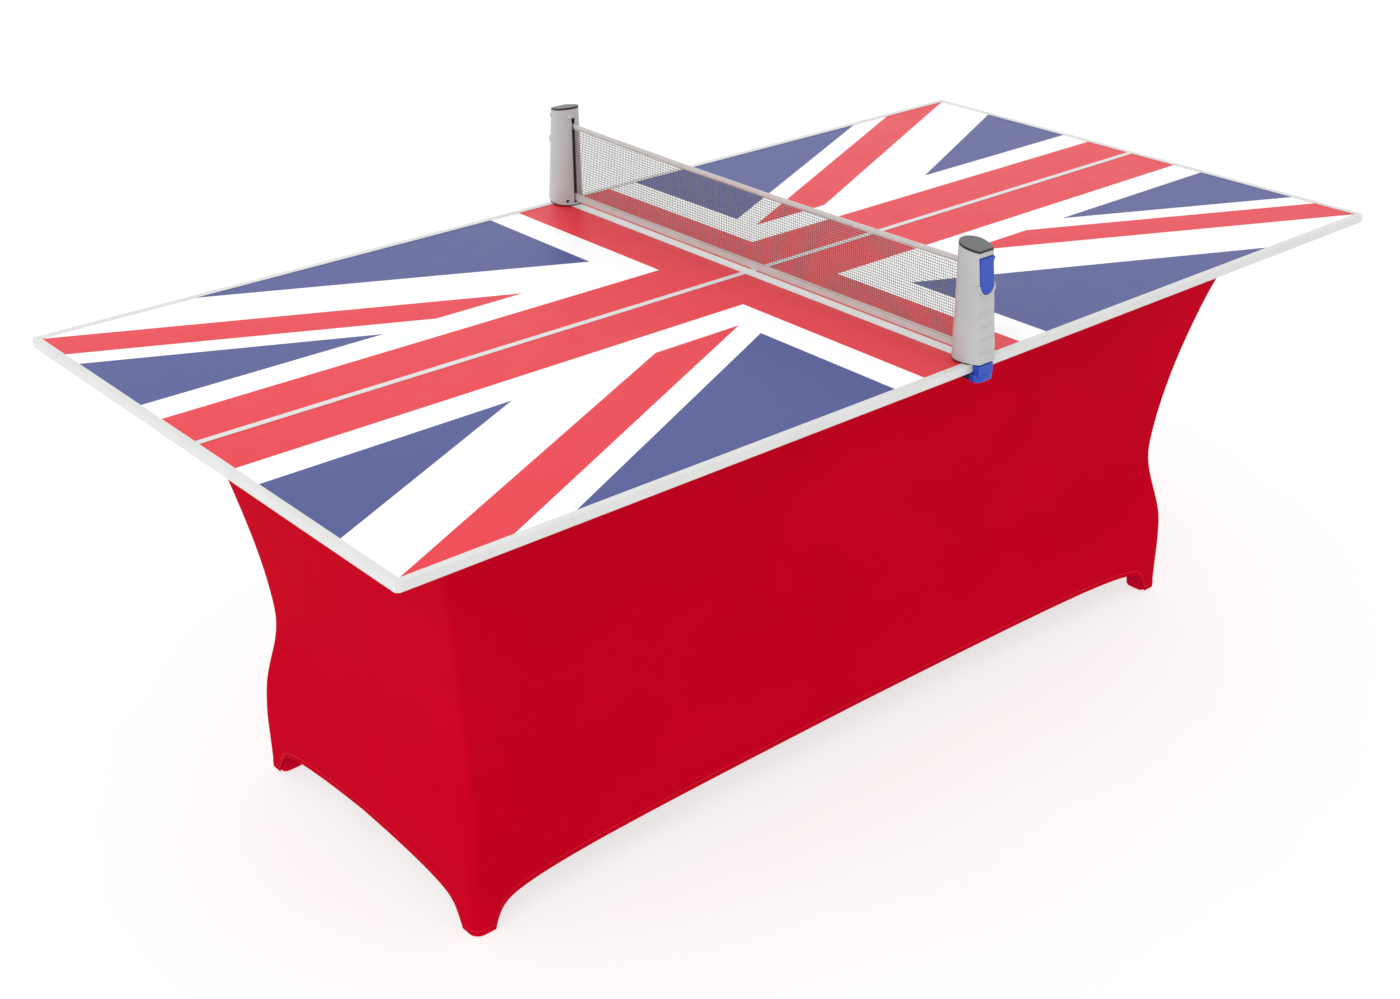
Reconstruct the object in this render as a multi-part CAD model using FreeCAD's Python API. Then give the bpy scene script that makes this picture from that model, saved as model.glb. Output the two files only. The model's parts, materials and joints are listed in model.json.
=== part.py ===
import FreeCAD, Part
import math
import os

# Table-tennis top that rests on a folding table in a stretch cover.
# Frame: origin on the floor under the middle of the table, +X along the length,
# +Z up, so the near long side is -Y. All sizes are millimetres.

V = FreeCAD.Vector
X_AXIS = V(1, 0, 0)
Y_AXIS = V(0, 1, 0)
Z_AXIS = V(0, 0, 1)
SIDES = (("left", -1), ("right", 1))
EDGES = (("near", -1), ("far", 1))

# ---- Playing top ----
PLAY_LENGTH = 2048.0
PLAY_WIDTH = 1030.0
PLAY_CORNER_R = 7.0
PANEL_THICK = 12.0
TRIM_WEB = 1.4
TRIM_LIP_THICK = 1.0
TRIM_LIP_WIDTH = 11.5
MIDDLE_LIP_WIDTH = 10.0
STRIP_WIDTH = 11.5
STRIP_WEB = 2.0
DOWEL_R = 4.0
DOWEL_LENGTH = 60.0
DOWEL_Y = 250.0
GRIP_PAD_THICK = 13.5
GRIP_PAD_LENGTH = 740.0
GRIP_PAD_WIDTH = 70.0
GRIP_PAD_START_X = 110.0
GRIP_PAD_Y = 230.0

# ---- Folding table ----
TABLE_LENGTH = 1830.0
TABLE_WIDTH = 760.0
TABLE_HEIGHT = 750.0
TABLE_CORNER_R = 30.0
TABLE_EDGE_DEPTH = 35.0
TABLE_EDGE_DRAFT = 12.0
TABLE_SIDE_DEPTH = 15.0
TABLE_MIDDLE_THICK = 23.0
TABLE_RIM_WIDTH = 28.0
TABLE_WALL = 4.0
RAIL_INSET_Y = 44.0
RAIL_END_GAP = 120.0
RAIL_THICK = 2.0
RAIL_DEPTH = 42.0
RAIL_FLANGE = 24.0
RAIL_SCREW_R = 2.0
RAIL_SCREW_PITCH = 460.0

# ---- Folding legs ----
LEG_TUBE_R = 12.5
LEG_TUBE_WALL = 1.5
LEG_PIVOT_INSET_X = 165.0
FOLD_CLEAR = 4.0
LEG_FOOT_OUT = 46.0
LEG_TOP_Y = 180.0
LEG_FOOT_INSET_Y = 96.0
LEG_STRAIGHT_TOP = 100.0
LEG_STRAIGHT_FOOT = 120.0
LEG_BEND_R = 90.0
PIVOT_PIN_R = 8.0
RUNNING_FIT = 0.05
FOOT_CAP_WALL = 3.5
FOOT_CAP_HEIGHT = 34.0
FOOT_SOLE_THICK = 4.5
BRACE_BAR_DROP = 120.0
BRACE_BAR_R = 8.0
BRACE_LENGTH = 380.0
BRACE_WIDTH = 22.0
BRACE_THICK = 6.0
BRACE_HUB_R = 13.0
BRACE_END_PIN_R = 5.0
BRACE_END_PIN_LENGTH = 34.0
BRACE_END_DROP = 11.0
TRACK_THICK = 2.0
TRACK_CLEAR = 1.5
TRACK_OVERRUN = 20.0

# ---- Stretch cover ----
COVER_THICK = 1.5
COVER_EASE = 0.5
COVER_WAIST_Z = 300.0
COVER_LEG_CLEAR = 2.4
COVER_SIDE_CLEAR = 3.0
COVER_HEM_Z = 75.0
COVER_FLARE_POWER = 2.3
COVER_FOOT_POWER = 1.5
COVER_WAIST_R = 14.0
POCKET_HEIGHT = 70.0
POCKET_EASE_OUT = 6.0
POCKET_EASE_SIDE = 4.0
POCKET_EASE_IN_Y = 17.0
POCKET_R = 10.0

# ---- Net posts: u runs outwards from the side of the post that faces the net ----
NET_TOP = 152.5
NET_BOTTOM = 9.0
NET_TOP_TAPE = 10.0
NET_BOTTOM_TAPE = 14.0
NET_THICK = 0.8
TAPE_THICK = 1.8
POST_INBOARD = 47.0
POST_HEIGHT = 180.0
POST_BASE_WIDTH = 54.0
POST_BASE_DEPTH = 62.0
POST_BASE_FLAT = 34.0
POST_TOP_WIDTH = 44.0
POST_TOP_DEPTH = 47.0
POST_TOP_FLAT = 30.0
POST_TOP_FALL = 8.0
POST_WALL = 2.2
POST_PAD_THICK = 2.0
POST_CAP_THICK = 4.0
POST_CAP_PLUG = 4.0
POST_SPLIT_U = 25.0
NET_SLOT_LEFT = 5.0
NET_SLOT_RIGHT = 2.0
NET_SLOT_UNDER = 3.0
NET_SLOT_OVER = 11.0
FIT_GAP = 0.3
REEL_R = 9.0
REEL_U = 22.0
REEL_HEIGHT = 138.0
REEL_LIFT = 18.0
REEL_AXLE_R = 3.0
REEL_SPRING_HEIGHT = 10.0
ANCHOR_R = 3.0
ANCHOR_U = 9.0
SCREW_R = 1.5
SCREW_HEAD_R = 2.8
SCREW_BOSS_R = 4.0
SCREW_BOSS_START_U = 16.0
SCREW_BOSS_END_U = 38.0
SCREW_X = -16.0
SCREW_HEIGHT = 10.0
HOOK_HEIGHT = 166.0
HOOK_R = 4.0

# ---- Clamp levers ----
LEVER_WIDTH = 29.0
LEVER_GAP = 1.0
LEVER_LOW = 109.0
LEVER_HIGH = 164.0
LEVER_PROUD = 0.5
LEVER_LIP = 3.0
LEVER_LIP_HEIGHT = 9.0
LEVER_THICK = 6.0
LEVER_ARM_WIDTH = 22.0
LEVER_PIN_R = 2.0
LEVER_PIN_SKIN = 1.0
LEVER_PIN_HEIGHT = 60.0
LEVER_PIN_U = 47.0
LEVER_HUB_R = 5.0
LEVER_HUB_WIDTH = 12.0
LEVER_SPRING_R = 3.6
LEVER_SPRING_WIRE_R = 0.8
LEVER_SPRING_TURNS = 4
JAW_EDGE_GAP = 2.0
JAW_STRAP_WIDTH = 31.0
JAW_STRAP_THICK = 11.0
JAW_STRAP_DROP = 3.5
JAW_NECK_THICK = 3.0
JAW_WIDTH = 38.0
JAW_TOP = 14.0
JAW_BOTTOM = 28.0
JAW_OUT = 62.0
JAW_PAD_IN = 22.0
JAW_PAD_WIDTH = 34.0
JAW_ROUND = 4.0
JAW_CORNER_R = 12.0
SCOOP_RIM_WIDTH = 3.5
SCOOP_RIM_PROUD = 2.0
GRIP_NOTCHES = 4
GRIP_NOTCH_R = 4.0
GRIP_NOTCH_DEPTH = 1.4
GRIP_NOTCH_LOW = 20.0
GRIP_NOTCH_PITCH = 20.0

# ---- Sizes that follow from those above ----
COVER_TOP_Z = TABLE_HEIGHT + COVER_THICK
PANEL_LOW_Z = COVER_TOP_Z + GRIP_PAD_THICK
PLAY_Z = PANEL_LOW_Z + PANEL_THICK
TRIM_LOW_Z = PANEL_LOW_Z - TRIM_LIP_THICK
TRIM_HIGH_Z = PLAY_Z + TRIM_LIP_THICK
CEILING_Z = TABLE_HEIGHT - TABLE_MIDDLE_THICK
EDGE_LOW_Z = TABLE_HEIGHT - TABLE_EDGE_DEPTH
FOOT_CAP_R = LEG_TUBE_R + FOOT_CAP_WALL
POCKET_OUT = FOOT_CAP_R + POCKET_EASE_OUT
POCKET_IN_X = FOOT_CAP_R + POCKET_EASE_SIDE
POCKET_SIDE_Y = FOOT_CAP_R + POCKET_EASE_SIDE
POCKET_IN_Y = FOOT_CAP_R + POCKET_EASE_IN_Y
PIVOT_X = TABLE_LENGTH / 2 - LEG_PIVOT_INSET_X
PIVOT_Z = CEILING_Z - POCKET_IN_X - FOLD_CLEAR
LEG_LEAN = math.atan2(LEG_FOOT_OUT, PIVOT_Z)
LEG_FOOT_X = PIVOT_X + LEG_FOOT_OUT
LEG_FOOT_Y = TABLE_WIDTH / 2 - LEG_FOOT_INSET_Y
LEG_WAIST_X = PIVOT_X + LEG_FOOT_OUT * (1 - COVER_WAIST_Z / PIVOT_Z)
RAIL_Y = TABLE_WIDTH / 2 - RAIL_INSET_Y
COVER_WAIST_HALF_LENGTH = LEG_WAIST_X + LEG_TUBE_R + COVER_LEG_CLEAR + COVER_THICK
COVER_WAIST_HALF_WIDTH = LEG_FOOT_Y + POCKET_SIDE_Y + COVER_SIDE_CLEAR
COVER_HEM_HALF_LENGTH = LEG_FOOT_X + POCKET_OUT
COVER_HEM_HALF_WIDTH = COVER_WAIST_HALF_WIDTH
POST_FACE_Y = PLAY_WIDTH / 2 - POST_INBOARD
POST_LOW_Z = TRIM_HIGH_Z
CASE_LOW_Z = POST_LOW_Z + POST_PAD_THICK
POST_HIGH_Z = PLAY_Z + POST_HEIGHT
CASE_HIGH_Z = POST_HIGH_Z - POST_CAP_THICK
PIN_Z = PLAY_Z + LEVER_PIN_HEIGHT


def box(x0, x1, y0, y1, z0, z1):
    """Box between two corners."""
    return Part.makeBox(x1 - x0, y1 - y0, z1 - z0, V(x0, y0, z0))


def rod(radius, start, direction, length):
    """Cylinder from a start point."""
    return Part.makeCylinder(radius, length, start, direction)


def prism(points, z0, z1):
    """Upright prism on a polygon of (x, y) points."""
    ring = [V(x, y, z0) for x, y in points]
    return Part.Face(Part.makePolygon(ring + ring[:1])).extrude(V(0, 0, z1 - z0))


def side_prism(points, width):
    """Prism across X, centred on x = 0, on a polygon of (u, z) points."""
    ring = [V(-width / 2, u, z) for u, z in points]
    return Part.Face(Part.makePolygon(ring + ring[:1])).extrude(V(width, 0, 0))


def rounded_rectangle(half_x, half_y, radius, z):
    """Closed wire of four lines and four quarter arcs, centred on the Z axis."""
    edges = []
    half_turn = math.sqrt(0.5)
    corners = ((1, 1), (-1, 1), (-1, -1), (1, -1))
    ends = []
    for sx, sy in corners:
        centre = V(sx * (half_x - radius), sy * (half_y - radius), z)
        first = centre + (V(sx * radius, 0, 0) if sx == sy else V(0, sy * radius, 0))
        last = centre + (V(0, sy * radius, 0) if sx == sy else V(sx * radius, 0, 0))
        middle = centre + V(sx * radius * half_turn, sy * radius * half_turn, 0)
        ends.append((first, middle, last))
    for i, (first, middle, last) in enumerate(ends):
        edges.append(Part.Arc(first, middle, last).toShape())
        edges.append(Part.LineSegment(last, ends[(i + 1) % 4][0]).toShape())
    return Part.Wire(edges)


def rounded_block(half_x, half_y, radius, z0, z1):
    """Upright block with four rounded corners, centred on the Z axis."""
    face = Part.Face(rounded_rectangle(half_x, half_y, radius, z0))
    return face.extrude(V(0, 0, z1 - z0))


def group(shapes):
    """Separate solids kept together in one node."""
    solids = []
    for shape in shapes:
        solids.extend(shape.Solids)
    return Part.makeCompound(solids) if len(solids) > 1 else solids[0]


def mirrored(shape, normal):
    """Mirror copy in the plane through the origin with this normal."""
    return shape.mirror(V(0, 0, 0), normal)


# ---------------------------------------------------------------- playing top

def trim_frame():
    """Ring of U-section trim round the right half: both lips and the outer web."""
    length = PLAY_LENGTH / 2
    half = PLAY_WIDTH / 2
    inner_end = length - TRIM_LIP_WIDTH
    blank = rounded_block(length, half, PLAY_CORNER_R, TRIM_LOW_Z, TRIM_HIGH_Z)
    blank = blank.common(box(0, length, -half, half, TRIM_LOW_Z, TRIM_HIGH_Z))
    channel = panel_blank()
    window = box(MIDDLE_LIP_WIDTH, inner_end, -half + TRIM_LIP_WIDTH,
                 half - TRIM_LIP_WIDTH, TRIM_LOW_Z - 1, TRIM_HIGH_Z + 1)
    return blank.cut(channel).cut(window)


def panel_blank():
    """The space inside the trim of the right half that its two panels fill."""
    half_x = PLAY_LENGTH / 2 - TRIM_WEB
    half_y = PLAY_WIDTH / 2 - TRIM_WEB
    radius = PLAY_CORNER_R - TRIM_WEB
    whole = rounded_block(half_x, half_y, radius, PANEL_LOW_Z, PLAY_Z)
    return whole.common(box(TRIM_WEB, half_x, -half_y, half_y, PANEL_LOW_Z, PLAY_Z))


def mitre_regions():
    """Wedges that share the trim ring between its four mitred lengths."""
    length = PLAY_LENGTH / 2
    half = PLAY_WIDTH / 2
    reach = 2 * TRIM_LIP_WIDTH
    near = [(0, -half), (length, -half), (length - reach, reach - half), (reach, reach - half)]
    end = [(length, -half), (length, half), (length - reach, half - reach),
           (length - reach, reach - half)]
    middle = [(0, -half), (reach, reach - half), (reach, half - reach), (0, half)]
    low, high = TRIM_LOW_Z - 1, TRIM_HIGH_Z + 1
    regions = {"near": prism(near, low, high), "end": prism(end, low, high)}
    regions["far"] = mirrored(regions["near"], Y_AXIS)
    regions["middle"] = prism(middle, low, high)
    return regions


def dowels():
    """Two dowels that line up the halves where they meet."""
    z = (PANEL_LOW_Z + PLAY_Z) / 2
    return [rod(DOWEL_R, V(-DOWEL_LENGTH / 2, s * DOWEL_Y, z), X_AXIS, DOWEL_LENGTH)
            for s in (-1, 1)]


def centre_strip():
    """H-section strip along the centre line of the right half."""
    start = MIDDLE_LIP_WIDTH
    end = PLAY_LENGTH / 2 - TRIM_LIP_WIDTH
    half = STRIP_WIDTH / 2
    lips = [box(start, end, -half, half, TRIM_LOW_Z, PANEL_LOW_Z),
            box(start, end, -half, half, PLAY_Z, TRIM_HIGH_Z)]
    web = box(start, end, -STRIP_WEB / 2, STRIP_WEB / 2, PANEL_LOW_Z, PLAY_Z)
    return web.multiFuse(lips).removeSplitter()


def playing_top_nodes():
    """Panels, trims, centre strips, dowels and grip pads."""
    nodes = {}
    pins = dowels()
    blank = panel_blank()
    span = PLAY_LENGTH
    panel = blank.common(box(0, span, -span, -STRIP_WEB / 2, PANEL_LOW_Z, PLAY_Z))
    frame = trim_frame()
    trims = {name: frame.common(region) for name, region in mitre_regions().items()}
    for side, sign in SIDES:
        for edge, across in EDGES:
            shape = panel if across < 0 else mirrored(panel, Y_AXIS)
            shape = shape if sign > 0 else mirrored(shape, X_AXIS)
            nodes["panel_%s_%s" % (side, edge)] = shape.cut(pins[0]).cut(pins[1])
        for name, trim in trims.items():
            shape = trim if sign > 0 else mirrored(trim, X_AXIS)
            shape = shape.cut(pins[0]).cut(pins[1]) if name == "middle" else shape
            nodes["trim_%s_%s" % (side, name)] = shape
        strip = centre_strip()
        nodes["centre_strip_" + side] = strip if sign > 0 else mirrored(strip, X_AXIS)
    nodes["joining_dowels"] = group(pins)
    pads = []
    for sx in (-1, 1):
        for sy in (-1, 1):
            near_x = sx * GRIP_PAD_START_X
            far_x = sx * (GRIP_PAD_START_X + GRIP_PAD_LENGTH)
            near_y = sy * GRIP_PAD_Y
            far_y = sy * (GRIP_PAD_Y + GRIP_PAD_WIDTH)
            pads.append(box(min(near_x, far_x), max(near_x, far_x), min(near_y, far_y),
                            max(near_y, far_y), COVER_TOP_Z, PANEL_LOW_Z))
    nodes["grip_pads"] = group(pads)
    return nodes


# -------------------------------------------------------------- folding table

def rail_screw_places():
    """Where the screws go up through the rail flanges."""
    places = []
    for sy in (-1, 1):
        for step in (-1.5, -0.5, 0.5, 1.5):
            y = sy * (RAIL_Y - RAIL_THICK - RAIL_FLANGE / 2)
            places.append(V(step * RAIL_SCREW_PITCH, y, CEILING_Z))
    return places


def table_top():
    """Hollow blow-moulded top with a drafted rim and a recess underneath."""
    half_x, half_y = TABLE_LENGTH / 2, TABLE_WIDTH / 2
    side_z = TABLE_HEIGHT - TABLE_SIDE_DEPTH
    upper = rounded_block(half_x, half_y, TABLE_CORNER_R, side_z, TABLE_HEIGHT)
    draft = TABLE_EDGE_DRAFT
    sections = [rounded_rectangle(half_x - draft, half_y - draft, TABLE_CORNER_R - draft / 2,
                                  EDGE_LOW_Z),
                rounded_rectangle(half_x, half_y, TABLE_CORNER_R, side_z)]
    lower = Part.makeLoft(sections, True, True)
    inset = draft + TABLE_RIM_WIDTH
    recess = rounded_block(half_x - inset, half_y - inset, TABLE_CORNER_R / 2,
                           EDGE_LOW_Z - 1, CEILING_Z)
    hollow = rounded_block(half_x - inset, half_y - inset, TABLE_CORNER_R / 2,
                           CEILING_Z + TABLE_WALL, TABLE_HEIGHT - TABLE_WALL)
    top = upper.fuse(lower).removeSplitter().cut(recess).cut(hollow)
    for place in rail_screw_places():
        top = top.cut(rod(RAIL_SCREW_R, place, Z_AXIS, 2 * TABLE_WALL))
    return top


def side_rails():
    """Two steel angle rails with holes for the leg pivots and the screws."""
    half = TABLE_LENGTH / 2 - RAIL_END_GAP
    low = CEILING_Z - RAIL_DEPTH
    inner = RAIL_Y - RAIL_THICK
    web = box(-half, half, inner, RAIL_Y, low, CEILING_Z)
    flange = box(-half, half, inner - RAIL_FLANGE, inner, CEILING_Z - RAIL_THICK, CEILING_Z)
    rail = web.fuse(flange).removeSplitter()
    for sx in (-1, 1):
        start = V(sx * PIVOT_X, inner - 1, PIVOT_Z)
        rail = rail.cut(rod(PIVOT_PIN_R + RUNNING_FIT, start, Y_AXIS, RAIL_THICK + 2))
    for place in rail_screw_places()[4:]:
        start = place - V(0, 0, RAIL_THICK + 1)
        rail = rail.cut(rod(RAIL_SCREW_R, start, Z_AXIS, RAIL_THICK + 2))
    return group([mirrored(rail, Y_AXIS), rail])


def rail_screws():
    """Pan-head screws that hold the rails to the moulded top."""
    screws = []
    for place in rail_screw_places():
        under = place - V(0, 0, RAIL_THICK)
        shank = rod(RAIL_SCREW_R, under, Z_AXIS, RAIL_THICK + TABLE_WALL)
        head = rod(2.2 * RAIL_SCREW_R, under - V(0, 0, RAIL_SCREW_R), Z_AXIS, RAIL_SCREW_R)
        screws.append(shank.fuse(head))
    return group(screws)


def brace_end(folded):
    """X of the sliding end of the right brace, open or folded, and its Z."""
    z = CEILING_Z - BRACE_END_DROP
    if folded:
        bar_x, bar_z = PIVOT_X - BRACE_BAR_DROP, PIVOT_Z
    else:
        bar_x = PIVOT_X + BRACE_BAR_DROP * math.sin(LEG_LEAN)
        bar_z = PIVOT_Z - BRACE_BAR_DROP * math.cos(LEG_LEAN)
    return bar_x - math.sqrt(BRACE_LENGTH ** 2 - (z - bar_z) ** 2), z


def brace_tracks():
    """Two inverted channels in which the ends of the braces slide."""
    start = brace_end(True)[0] - TRACK_OVERRUN
    end = brace_end(False)[0] + TRACK_OVERRUN
    half = BRACE_END_PIN_LENGTH / 2 + TRACK_CLEAR
    low = CEILING_Z - BRACE_END_DROP - BRACE_END_PIN_R
    outer = box(start, end, -half - TRACK_THICK, half + TRACK_THICK, low, CEILING_Z)
    inner = box(start - 1, end + 1, -half, half, low - 1, CEILING_Z - TRACK_THICK)
    track = outer.cut(inner)
    return group([mirrored(track, X_AXIS), track])


def leg_path(foot_z):
    """Centre line of one upright in the plane of its frame: straight, splayed, straight."""
    top = V(0, LEG_TOP_Y, 0)
    knee = V(0, LEG_TOP_Y, -LEG_STRAIGHT_TOP)
    ankle = V(0, LEG_FOOT_Y, LEG_STRAIGHT_FOOT - PIVOT_Z)
    foot = V(0, LEG_FOOT_Y, foot_z)
    points = [top]
    edges = []
    for before, corner, after in ((top, knee, ankle), (knee, ankle, foot)):
        into = (corner - before).normalize()
        out = (after - corner).normalize()
        turn = math.acos(max(-1.0, min(1.0, into.dot(out))))
        setback = LEG_BEND_R * math.tan(turn / 2)
        start, end = corner - into * setback, corner + out * setback
        bisector = (out - into).normalize()
        centre = corner + bisector * (LEG_BEND_R / math.cos(turn / 2))
        edges.append(Part.LineSegment(points[-1], start).toShape())
        edges.append(Part.Arc(start, centre - bisector * LEG_BEND_R, end).toShape())
        points.append(end)
    edges.append(Part.LineSegment(points[-1], foot).toShape())
    return Part.Wire(edges)


def tube_along(path, radius, start, direction):
    """Round bar swept along a wire of lines and arcs."""
    section = Part.Wire([Part.Circle(start, direction, radius).toShape()])
    return path.makePipeShell([section], True, True)


def leg_nodes(side, sign):
    """One wishbone leg frame, leaning outwards, with its pivot and brace bars."""
    pivot = V(PIVOT_X, 0, PIVOT_Z)
    lean = -math.degrees(LEG_LEAN)
    path = leg_path(-PIVOT_Z - LEG_TUBE_R)
    outer = tube_along(path, LEG_TUBE_R, V(0, LEG_TOP_Y, 0), Z_AXIS)
    inner = tube_along(path, LEG_TUBE_R - LEG_TUBE_WALL, V(0, LEG_TOP_Y, 0), Z_AXIS)
    bar_z = -BRACE_BAR_DROP
    bar_y = LEG_TOP_Y
    pivot_tube = rod(LEG_TUBE_R, V(0, -RAIL_Y + RAIL_THICK + 1, 0), Y_AXIS,
                     2 * (RAIL_Y - RAIL_THICK - 1))
    pin = rod(PIVOT_PIN_R, V(0, -RAIL_Y - 4, 0), Y_AXIS, 2 * (RAIL_Y + 4))
    pivot_bar = pivot_tube.fuse(pin)
    brace_bar = rod(BRACE_BAR_R, V(0, -bar_y, bar_z), Y_AXIS, 2 * bar_y)
    cap_low = -PIVOT_Z - LEG_TUBE_R
    cap_high = FOOT_CAP_HEIGHT - PIVOT_Z
    cap = rod(FOOT_CAP_R, V(0, LEG_FOOT_Y, cap_low), Z_AXIS, cap_high - cap_low)
    uprights, caps = [], []
    floor = box(-TABLE_LENGTH, TABLE_LENGTH, -TABLE_WIDTH, TABLE_WIDTH, COVER_THICK,
                TABLE_HEIGHT)
    tip = COVER_THICK + FOOT_SOLE_THICK
    above_tip = box(-TABLE_LENGTH, TABLE_LENGTH, -TABLE_WIDTH, TABLE_WIDTH, tip, TABLE_HEIGHT)

    def stand(shape):
        placed = shape.copy()
        placed.translate(pivot)
        placed.rotate(pivot, Y_AXIS, lean)
        return placed

    for across in (-1, 1):
        tube = outer.cut(inner) if across > 0 else mirrored(outer.cut(inner), Y_AXIS)
        tube = stand(tube.cut(pivot_bar).cut(brace_bar)).common(above_tip)
        solid_leg = stand(outer if across > 0 else mirrored(outer, Y_AXIS)).common(above_tip)
        sole = stand(cap if across > 0 else mirrored(cap, Y_AXIS)).common(floor)
        uprights.append(max(tube.Solids, key=lambda s: s.Volume))
        caps.append(sole.cut(solid_leg))
    shapes = {
        "leg_%s_uprights": group(uprights),
        "leg_%s_pivot_bar": stand(pivot_bar),
        "leg_%s_brace_bar": stand(brace_bar),
        "leg_%s_foot_caps": group(caps),
        "cover_pockets_%s": foot_pockets(),
    }
    return {name % side: shape if sign > 0 else mirrored(shape, X_AXIS)
            for name, shape in shapes.items()}


def foot_pockets():
    """Two open-topped fabric pockets that the feet of the right leg stand in."""
    pockets = []
    for across in (-1, 1):
        half_x = (POCKET_OUT + POCKET_IN_X) / 2
        half_y = (POCKET_SIDE_Y + POCKET_IN_Y) / 2
        outer = rounded_block(half_x, half_y, POCKET_R, 0, POCKET_HEIGHT)
        inner = rounded_block(half_x - COVER_THICK, half_y - COVER_THICK,
                              POCKET_R - COVER_THICK, COVER_THICK, POCKET_HEIGHT + 1)
        pocket = outer.cut(inner)
        centre_x = LEG_FOOT_X + (POCKET_OUT - POCKET_IN_X) / 2
        centre_y = across * (LEG_FOOT_Y - (POCKET_IN_Y - POCKET_SIDE_Y) / 2)
        pocket.translate(V(centre_x, centre_y, 0))
        pockets.append(pocket)
    return group(pockets)


def brace(sign):
    """Flat brace with a hub on the brace bar and a cross pin at its sliding end."""
    end_x, end_z = brace_end(False)
    bar = V(PIVOT_X + BRACE_BAR_DROP * math.sin(LEG_LEAN), 0,
            PIVOT_Z - BRACE_BAR_DROP * math.cos(LEG_LEAN))
    along = math.atan2(end_z - bar.z, bar.x - end_x)
    width = BRACE_WIDTH / 2
    hub = rod(BRACE_HUB_R, V(0, -width, 0), Y_AXIS, BRACE_WIDTH)
    flat = box(0, BRACE_LENGTH, -width, width, -BRACE_THICK / 2, BRACE_THICK / 2)
    half_pin = BRACE_END_PIN_LENGTH / 2
    pin = rod(BRACE_END_PIN_R, V(BRACE_LENGTH, -half_pin, 0), Y_AXIS, BRACE_END_PIN_LENGTH)
    bore = rod(BRACE_BAR_R + RUNNING_FIT, V(0, -BRACE_WIDTH, 0), Y_AXIS, 2 * BRACE_WIDTH)
    shape = hub.multiFuse([flat, pin]).cut(bore).removeSplitter()
    shape.rotate(V(0, 0, 0), Y_AXIS, 180 + math.degrees(along))
    shape.translate(bar)
    return shape if sign > 0 else mirrored(shape, X_AXIS)


# --------------------------------------------------------------- stretch cover

def cover_half_sizes(z):
    """Half length, half width and corner radius of the outside of the cover at a height."""
    rim_x = TABLE_LENGTH / 2 + COVER_EASE + COVER_THICK
    rim_y = TABLE_WIDTH / 2 + COVER_EASE + COVER_THICK
    low_x, low_y = rim_x - TABLE_EDGE_DRAFT + 1, rim_y - TABLE_EDGE_DRAFT + 1
    side_z = TABLE_HEIGHT - TABLE_SIDE_DEPTH
    if z >= side_z:
        return rim_x, rim_y, TABLE_CORNER_R
    if z >= EDGE_LOW_Z:
        share = (z - EDGE_LOW_Z) / (side_z - EDGE_LOW_Z)
        return (low_x + share * (rim_x - low_x), low_y + share * (rim_y - low_y),
                TABLE_CORNER_R - (1 - share) * TABLE_EDGE_DRAFT / 2)
    if z >= COVER_WAIST_Z:
        share = ((z - COVER_WAIST_Z) / (EDGE_LOW_Z - COVER_WAIST_Z)) ** COVER_FLARE_POWER
        end_x, end_y = low_x, low_y
        end_r = TABLE_CORNER_R - TABLE_EDGE_DRAFT / 2
    else:
        share = ((COVER_WAIST_Z - z) / (COVER_WAIST_Z - COVER_HEM_Z)) ** COVER_FOOT_POWER
        end_x, end_y, end_r = COVER_HEM_HALF_LENGTH, COVER_HEM_HALF_WIDTH, COVER_WAIST_R
    return (COVER_WAIST_HALF_LENGTH + share * (end_x - COVER_WAIST_HALF_LENGTH),
            COVER_WAIST_HALF_WIDTH + share * (end_y - COVER_WAIST_HALF_WIDTH),
            COVER_WAIST_R + share * (end_r - COVER_WAIST_R))


def cover_skin(inset, extra):
    """Solid inside one skin of the cover, from the hem to the top of the table."""
    def section(z, at):
        half_x, half_y, radius = cover_half_sizes(z)
        return rounded_rectangle(half_x - inset, half_y - inset, radius - inset, at)

    steps = 5
    rise = (EDGE_LOW_Z - COVER_WAIST_Z) / steps
    heights = [COVER_HEM_Z, (COVER_HEM_Z + COVER_WAIST_Z) / 2]
    heights += [COVER_WAIST_Z + i * rise for i in range(steps + 1)]
    body = Part.makeLoft([section(z, z) for z in heights], True, False)
    side_z = TABLE_HEIGHT - TABLE_SIDE_DEPTH
    rim = Part.makeLoft([section(EDGE_LOW_Z, EDGE_LOW_Z), section(side_z, side_z)], True, True)
    band = Part.Face(section(side_z, side_z)).extrude(V(0, 0, TABLE_SIDE_DEPTH + extra))
    tail = Part.Face(section(COVER_HEM_Z, COVER_HEM_Z)).extrude(V(0, 0, -1 - extra))
    pieces = [rim, band] + ([tail] if extra else [])
    return body.multiFuse(pieces)


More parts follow.
